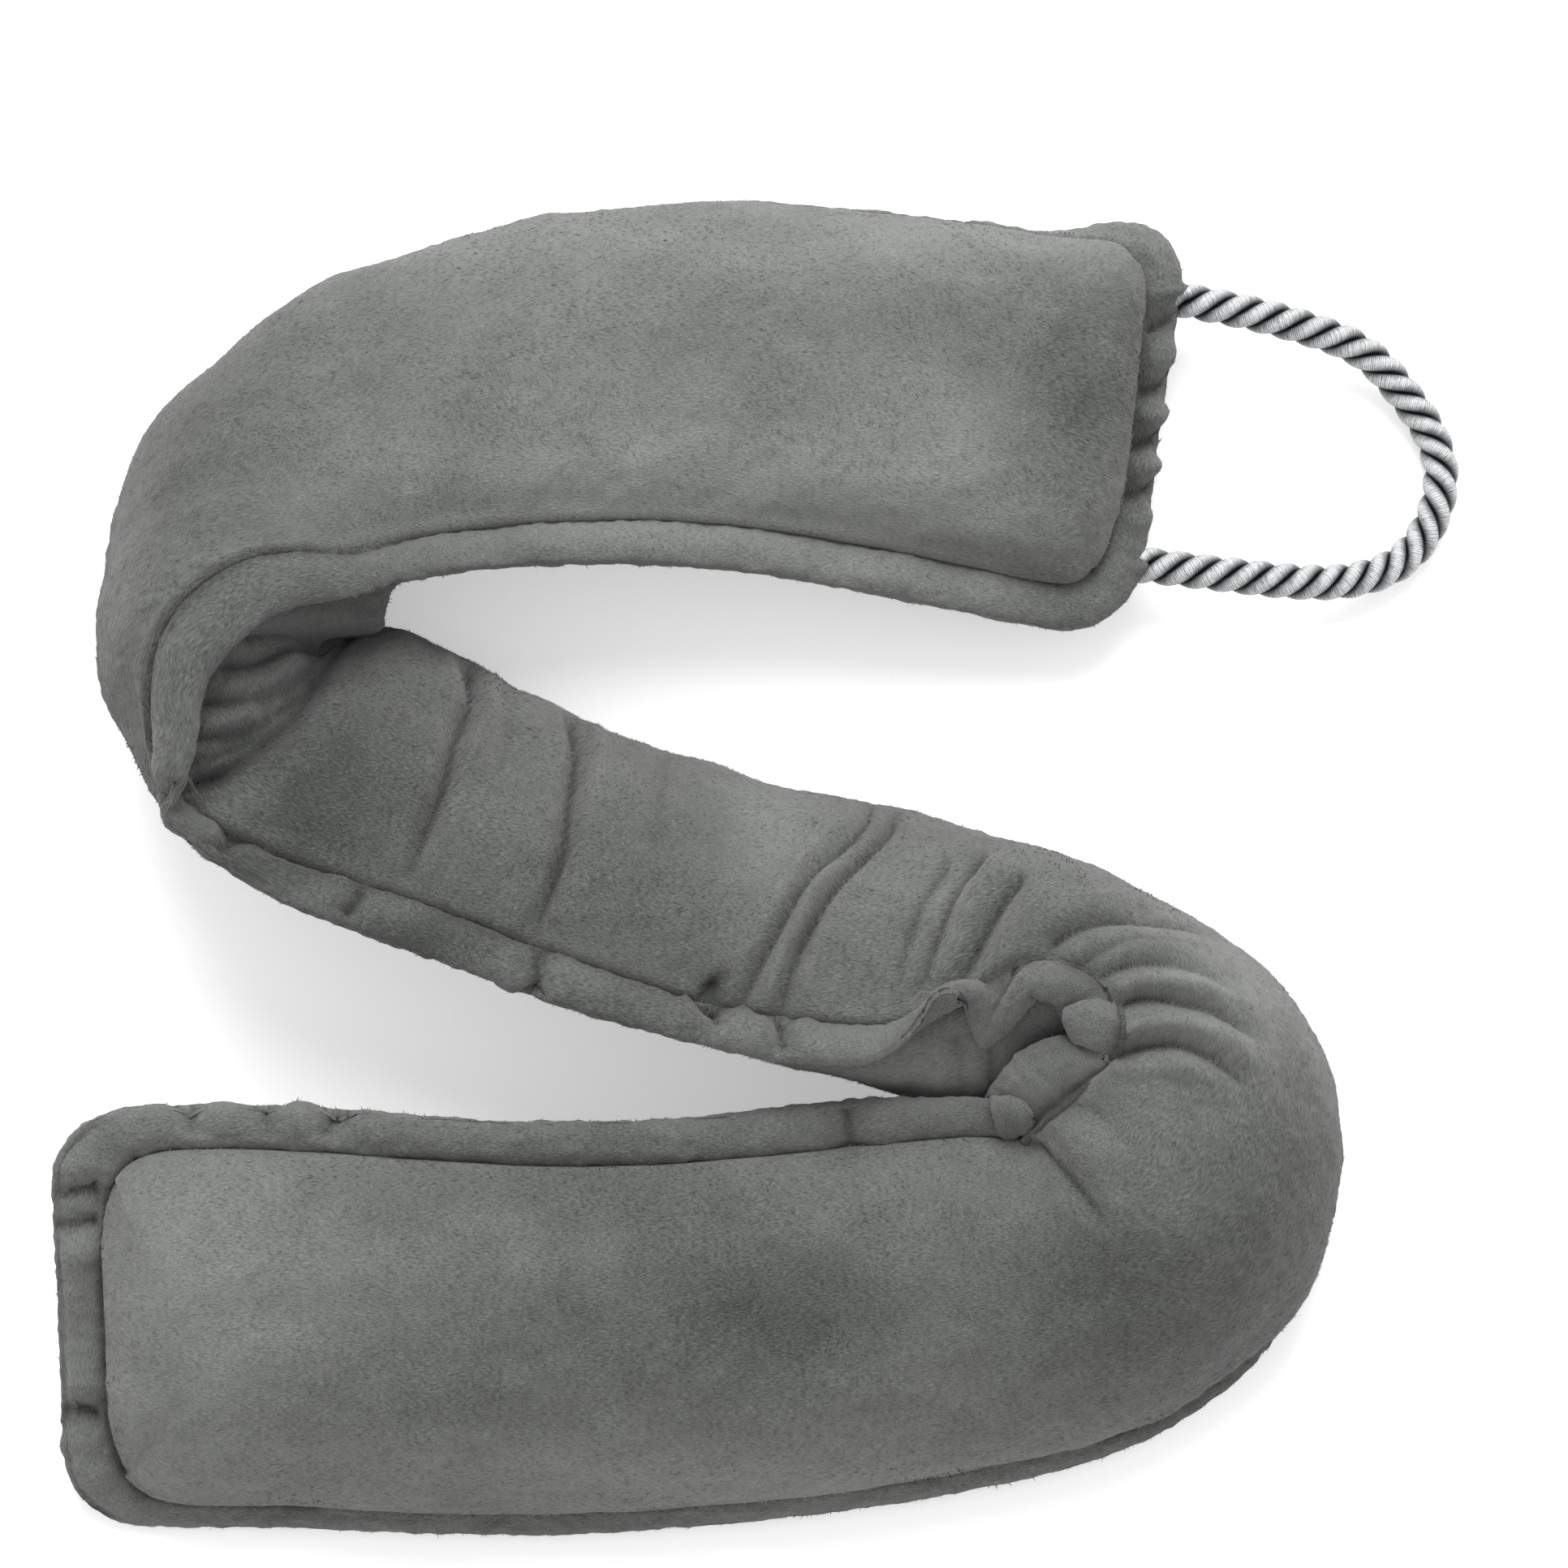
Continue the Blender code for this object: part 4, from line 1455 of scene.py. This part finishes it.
    def build(self) -> bpy.types.Object:
        """Make the flange: its section carried once round the cover's outline."""
        spine = self.spine
        along, across, in_along, in_across = self.outline()
        width = self.seam_width(along, across, in_along, in_across)
        shares, heights, roots = self.profile()
        depth = width[:, None] * (1 - shares) + self.root * roots
        at = along[:, None] + in_along[:, None] * depth
        off = across[:, None] + in_across[:, None] * depth
        thick = spine.flange_thickness * np.minimum(width, self.fullest_width) / 2
        round_place = running_length(spine.place(along, across, np.zeros_like(along)))
        ripple = waves(round_place[:, None], self.ripple_length, self.ripple_waves, self.ripple_seed)
        ripple = 1 + self.ripple * ripple
        near_end = 1 - smooth_step(*self.sewn_end, along)
        sewn = 1 - self.sewn_depth * near_end[:, None] * bell((shares - self.sewn_share) / self.sewn_reach)
        lofted = np.abs(heights) * (thick * ripple)[:, None] * sewn
        lofted = np.sign(heights) * np.maximum(lofted, self.neck)
        lofted = np.where(roots > 0, np.sign(heights) * self.neck * self.flat_root, lofted)
        rings = spine.place(at, off, lofted)
        for lobes in (NEAR_LOBES, TURN_LOBES):
            rings = self.crumple(np.array(lobes), rings, along, across, shares, heights, roots)
        normals = grid_normals(rings, closed=True)
        flat = rings.reshape(-1, 3)
        gathered, crease_shade = self.folds(flat, normals.reshape(-1, 3), GATHERS)
        push = self.lump_share * self.lumps(flat) + self.fur(flat) + gathered
        push = push.reshape(rings.shape[:2]) * (roots == 0)
        rings = settle(self.grabbed(rings + push[..., None] * normals, at))
        count, ring = rings.shape[:2]
        faces = ring_faces(count, ring, closed=True)
        girth = np.arange(ring + 1) * self.girth_step
        i, j = faces[:, 0] // ring, faces[:, 0] % ring
        corner_row = np.stack([i, i + 1, i + 1, i], axis=-1) * self.grain.flange_step
        corner_column = girth[np.stack([j, j, j + 1, j + 1], axis=-1)]
        cloth = np.stack([corner_column, corner_row], axis=-1)
        points = rings.reshape(-1, 3)
        made = mesh_object("cushion_flange", points, [faces], [cloth])
        # Painted shade along the seam with the body, and at crease bottoms.
        seam = self.seam_dark * np.broadcast_to(bell(shares / self.seam_reach), (count, ring)).ravel()
        point_values(made, "nap", self.nap_and_painted_light(points) - self.shaded * np.maximum(crease_shade, seam))
        return made


@dataclass
class Pile:
    """Tufts of fibre that lie along the cover's nap, joined into few meshes.

    Each is a thin closed spike: two corners at its foot, one on its back and its end.
    They are shaded with the cloth's own direction, as soft pile is.
    """

    tufts: dict[str, int] = field(default_factory=lambda: {"body_pile": 48000, "flange_pile": 30000})
    sizes: dict[str, float] = field(default_factory=lambda: {"body_pile": 1.0, "flange_pile": 0.85})
    long: float = 0.0018
    high: float = 0.00052
    wide: float = 0.00036
    ridge: float = 0.00005
    highlight_share: float = 0.32
    sunk: float = 0.00030
    smallest: float = 0.65
    largest: float = 1.25
    ground_gap: float = 0.0001
    swirl: float = 0.8
    swirl_length: float = 0.035
    swirl_waves: int = 10
    swirl_seed: int = SEED + 31
    first_seed: int = SEED + 11
    stray: float = 0.25
    soft: float = 0.25  # how far its shading leans along it
    uneven: float = 0.36
    lighter: tuple[float, ...] = (-0.4, -0.4, 0.0, 0.6)  # for each corner
    corner_across: tuple[float, ...] = (-0.5, 0.5, 0.0, 0.0)  # on the cloth's map, in widths
    corner_along: tuple[float, ...] = (0.0, 0.0, 0.3, 1.0)  # and in lengths
    spike: tuple[tuple[int, int, int], ...] = ((0, 2, 1), (0, 1, 3), (1, 2, 3), (2, 0, 3))
    cell: tuple[tuple[float, float], ...] = ((0.15, 0.15), (0.85, 0.15), (0.15, 0.85))

    def places(self, base: bpy.types.Object, count: int, seed: int) -> dict[str, Array]:
        """Seeded places all over a mesh, as many on each square millimetre.

        Args:
            base: The mesh they stand on, of four-cornered faces.
            count: How many.
            seed: The generator's seed.

        Returns:
            For each place its point, normal, cloth direction, flat place and nap, the last with its painted
            light and shade.
        """
        mesh = base.data
        points = np.zeros(len(mesh.vertices) * 3)
        mesh.vertices.foreach_get("co", points)
        points = points.reshape(-1, 3)
        corners = np.zeros(len(mesh.loops), dtype=int)
        mesh.loops.foreach_get("vertex_index", corners)
        quads = corners.reshape(-1, 4)
        flat = np.zeros(len(mesh.loops) * 2)
        mesh.uv_layers["cloth"].data.foreach_get("uv", flat)
        flat = flat.reshape(-1, 4, 2)
        nap = np.zeros(len(mesh.vertices))
        mesh.attributes["nap"].data.foreach_get("value", nap)
        first = points[quads[:, 2]] - points[quads[:, 0]]
        square = np.cross(first, points[quads[:, 3]] - points[quads[:, 1]])
        area = np.linalg.norm(square, axis=1)
        rng = np.random.default_rng(seed)
        chosen = rng.choice(len(quads), size=count, p=area / area.sum())
        u, v = rng.uniform(0, 1, (2, count, 1))
        weights = np.stack([(1 - u) * (1 - v), u * (1 - v), u * v, (1 - u) * v], axis=1)
        picked = quads[chosen]
        ahead = points[picked[:, 1]] - points[picked[:, 0]] + points[picked[:, 2]] - points[picked[:, 3]]
        return {
            "point": (points[picked] * weights).sum(axis=1),
            "normal": unit(square[chosen]),
            "ahead": unit(ahead),
            "flat": (flat[chosen] * weights).sum(axis=1),
            "nap": (nap[picked] * weights[..., 0]).sum(axis=1),
        }

    def lay_out(self, piece: bpy.types.Object) -> None:
        """Give each three-cornered face its own cell of a square map."""
        count = len(piece.data.polygons)
        side = math.ceil(math.sqrt(count))
        row, column = np.divmod(np.arange(count), side)
        corner = np.stack([column, row], axis=-1)[:, None] + np.array(self.cell)
        layer = piece.data.uv_layers.new(name="OFBake")
        layer.data.foreach_set("uv", (corner / side).astype(np.float32).ravel())

    def build(self, name: str, base: bpy.types.Object, parts: int) -> list[bpy.types.Object]:
        """Make the tufts of one mesh.

        Args:
            name: The pieces' name.
            base: The mesh they stand on.
            parts: How many pieces.

        Returns:
            The pieces.
        """
        made = []
        for part in range(parts):
            seed = self.first_seed + part
            at = self.places(base, self.tufts[name], seed)
            rng = np.random.default_rng(seed)
            point, normal = at["point"], at["normal"]
            count = len(point)
            turn = self.swirl * waves(point, self.swirl_length, self.swirl_waves, self.swirl_seed)
            turn += rng.normal(0, self.stray, count)
            beside = np.cross(normal, at["ahead"])
            lean = np.cos(turn)[:, None] * at["ahead"] + np.sin(turn)[:, None] * beside
            side = np.cross(normal, lean)
            size = rng.uniform(self.smallest, self.largest, (count, 1)) * self.sizes[name]
            foot = point - self.sunk * normal
            end = point + self.long * size * lean + self.high * size * normal
            back = foot + self.highlight_share * (end - foot) + self.ridge * normal
            half = 0.5 * self.wide * size * side
            corners = np.stack([foot - half, foot + half, back, end], axis=1)
            corners[..., 2] = np.maximum(corners[..., 2], self.ground_gap)
            start = 4 * np.arange(count)[:, None]
            faces = np.concatenate([start + np.array(face) for face in self.spike])
            flat = np.repeat(at["flat"][:, None], 4, axis=1)
            flat[:, :, 0] += np.array(self.corner_across) * self.wide
            flat[:, :, 1] += np.array(self.corner_along) * self.long
            flat = flat.reshape(-1, 2)[faces]
            piece = mesh_object(f"{name}_{part + 1}", corners.reshape(-1, 3), [faces], [flat])
            tip = rng.normal(0, self.uneven, (count, 1)) + np.array(self.lighter)
            self.lay_out(piece)
            point_values(piece, "tip", tip.ravel())
            # The tufts take the nap beneath them, painted light and shade included.
            point_values(piece, "nap", np.repeat(at["nap"], 4))
            shading = unit(normal + self.soft * lean * rng.uniform(0, 1, (count, 1)))
            piece.data.normals_split_custom_set_from_vertices(np.repeat(shading, 4, axis=0).tolist())
            made.append(piece)
        return made


@dataclass
class Cushion:
    """The stuffed plush cushion: its body, the flange sewn round it, and their pile."""

    spine: Spine
    photo: Photo

    def build(self) -> list[bpy.types.Object]:
        """Make the cushion's pieces and dress them."""
        plush = Plush().build()
        body = Body(self.spine, self.photo).build()
        flange = Flange(self.spine, self.photo).build()
        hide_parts("cushion")
        pile = Pile()
        pieces = [body, flange, *pile.build("body_pile", body, 2), *pile.build("flange_pile", flange, 1)]
        for piece in pieces:
            piece.data.materials.append(plush)
            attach(piece, BODY)
        return pieces


@dataclass
class Rope:
    """The twisted rope loop: three strands of fine thread, laid round one another."""

    diameter: float = 0.0095
    strands: int = 3
    pitch: float = 0.021
    around: int = 30
    laid: float = 0.268  # share of the diameter from the rope's middle to a strand's
    stout: float = 0.232  # share of the diameter that a strand's radius has
    joint: int = 12
    path_step: int = 12
    pressed: float = 0.0004
    exit: tuple[float, float, float] = (0.1260, 0.1469, 0.0208)
    tuck: float = 0.0095
    narrow: float = 0.45
    grip: float = 0.1  # share of the tuck where the rope starts to widen
    free: float = 0.8  # and where it is whole
    ends: tuple[tuple[float, float, float], ...] = ((0.1167, 0.1483, 0.0176), (0.1072, 0.0776, 0.0158))
    grain: Grain = field(default_factory=Grain)

    def centreline(self) -> Array:
        """Points along the rope's middle, close together."""
        route = np.array(ROPE_ROUTE)
        knots = running_length(route)
        line = smooth_curve(knots, route, np.linspace(0, knots[-1], FINE))
        first, last = np.array(self.ends)
        line = np.concatenate([[first], line[self.joint : -self.joint], [last]])
        length = running_length(line)
        count = int(length[-1] / self.grain.rope_step)
        at = np.linspace(0, length[-1], count + 1)
        return np.stack([np.interp(at, length, line[:, k]) for k in range(3)], axis=-1)

    def strand(self, line: Array, ahead: Array, side: Array, top: Array, turn: float) -> tuple[Array, Array]:
        """One strand: a circle carried along a helix, narrower where the seam grips the rope.

        Args:
            line: The rope's middle.
            ahead: Its direction; not used.
            side: A direction across it.
            top: The other direction across it.
            turn: Where round the rope the strand starts.

        Returns:
            Rings of points, and their places: how far round from the back, and how far along.
        """
        length = running_length(line)
        phase = turn - 2 * np.pi * length / self.pitch
        from_end = np.minimum(length, length[-1] - length)
        widening = smooth_step(self.grip * self.tuck, self.free * self.tuck, from_end)
        scale = self.narrow + (1 - self.narrow) * widening
        out = np.cos(phase)[:, None] * side + np.sin(phase)[:, None] * top
        offset = self.laid * self.diameter * scale[:, None]
        middle = line + offset * out
        run = unit(np.gradient(middle, axis=0))
        across = unit(np.cross(run, out))
        angle = -np.linspace(0, 2 * np.pi, self.around, endpoint=False)
        radius = self.stout * self.diameter * scale[:, None]
        rings = (
            middle[:, None]
            + (radius * np.cos(angle))[..., None] * out[:, None]
            + (radius * np.sin(angle))[..., None] * across[:, None]
        )
        from_back = np.minimum(-angle, 2 * np.pi + angle) * self.stout * self.diameter
        strand_length = np.broadcast_to(running_length(middle)[:, None], rings.shape[:2])
        places = np.stack([np.broadcast_to(from_back, rings.shape[:2]), strand_length], axis=-1)
        return rings, places

    def build(self) -> bpy.types.Object:
        line = self.centreline()
        ahead = unit(np.gradient(line, axis=0))
        up = np.array([0.0, 0.0, 1.0])
        side = unit(np.cross(up, ahead))
        top = np.cross(ahead, side)
        points, quads, caps, quad_cloth, cap_cloth = [], [], [], [], []
        for k in range(self.strands):
            rings, places = self.strand(line, ahead, side, top, 2 * np.pi * k / self.strands)
            start = sum(len(p) for p in points)
            faces = ring_faces(*rings.shape[:2], closed=False)
            corners = places.reshape(-1, 2)[faces]
            points += [settle(rings.reshape(-1, 3), self.pressed), rings[[0, -1]].mean(axis=1)]
            quads.append(faces + start)
            quad_cloth.append(corners)
            middle = start + rings.shape[0] * self.around
            first = start + np.arange(self.around)
            last = first + (len(rings) - 1) * self.around
            caps.append(np.stack([np.full(self.around, middle), first, np.roll(first, -1)], axis=-1))
            caps.append(np.stack([np.full(self.around, middle + 1), np.roll(last, -1), last], axis=-1))
            cap_cloth += [np.zeros((self.around, 3, 2)), np.zeros((self.around, 3, 2))]
        faces = [np.concatenate(quads), np.concatenate(caps)]
        cloth = [np.concatenate(quad_cloth), np.concatenate(cap_cloth)]
        made = mesh_object("rope", np.concatenate(points), faces, cloth)
        made.data.materials.append(Satin().build())
        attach(made, BODY)
        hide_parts("rope_loop")
        return made


@dataclass(frozen=True)
class Studio:
    """A pale floor, a large soft light from beyond the cushion, and light from all round."""

    floor_size: float = 6.0
    floor_gap: float = 0.0002
    floor_roughness: float = 0.9
    floor_gloss: float = 0.2
    floor_colour: tuple[float, float, float, float] = (0.93, 0.93, 0.93, 1)
    floor_glow: float = 0.42  # seen by the camera only, so that shadows stay faint as in the photo
    key_energy: float = 60.0
    key_size: float = 1.8
    key_distance: float = 2.6
    key_tilt: float = math.radians(38)
    sky: float = 0.78

    def build(self) -> None:
        """Make the floor and the lights."""
        half = self.floor_size / 2
        corners = np.array([[-half, -half, 0], [half, -half, 0], [half, half, 0], [-half, half, 0]])
        floor = mesh_object("floor", corners - np.array([0, 0, self.floor_gap]), [np.array([[0, 1, 2, 3]])])
        tree = Shading("floor")
        tree.set(Base_Color=self.floor_colour, Roughness=self.floor_roughness)
        tree.set(Specular_IOR_Level=self.floor_gloss)
        seen = tree.node("ShaderNodeLightPath", {}, {}, "Is Camera Ray")
        tree.set(Emission_Color=self.floor_colour, Emission_Strength=seen * self.floor_glow)
        floor.data.materials.append(tree.material)
        data = bpy.data.lights.new("key", "AREA")
        data.energy = self.key_energy
        data.shape = "DISK"
        data.size = self.key_size
        key = bpy.data.objects.new("key", data)
        reach = self.key_distance
        key.location = (0, reach * math.sin(self.key_tilt), reach * math.cos(self.key_tilt))
        key.rotation_euler = (-self.key_tilt, 0, 0)
        bpy.context.scene.collection.objects.link(key)
        world = bpy.data.worlds.new("studio")
        world.use_nodes = True
        background = world.node_tree.nodes["Background"]
        background.inputs["Color"].default_value = (1, 1, 1, 1)
        background.inputs["Strength"].default_value = self.sky
        bpy.context.scene.world = world
        bpy.context.scene.view_settings.view_transform = "Standard"


def main() -> None:
    """Load the frame and build each piece on it."""
    logging.basicConfig(level=logging.INFO, format="%(message)s")
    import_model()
    photo = Photo()
    photo.build()
    rope = Rope().build()
    log.info("%s: %d faces", rope.name, len(rope.data.polygons))
    for piece in Cushion(Spine(), photo).build():
        log.info("%s: %d faces", piece.name, len(piece.data.polygons))
    Studio().build()


if __name__ == "__main__":
    main()
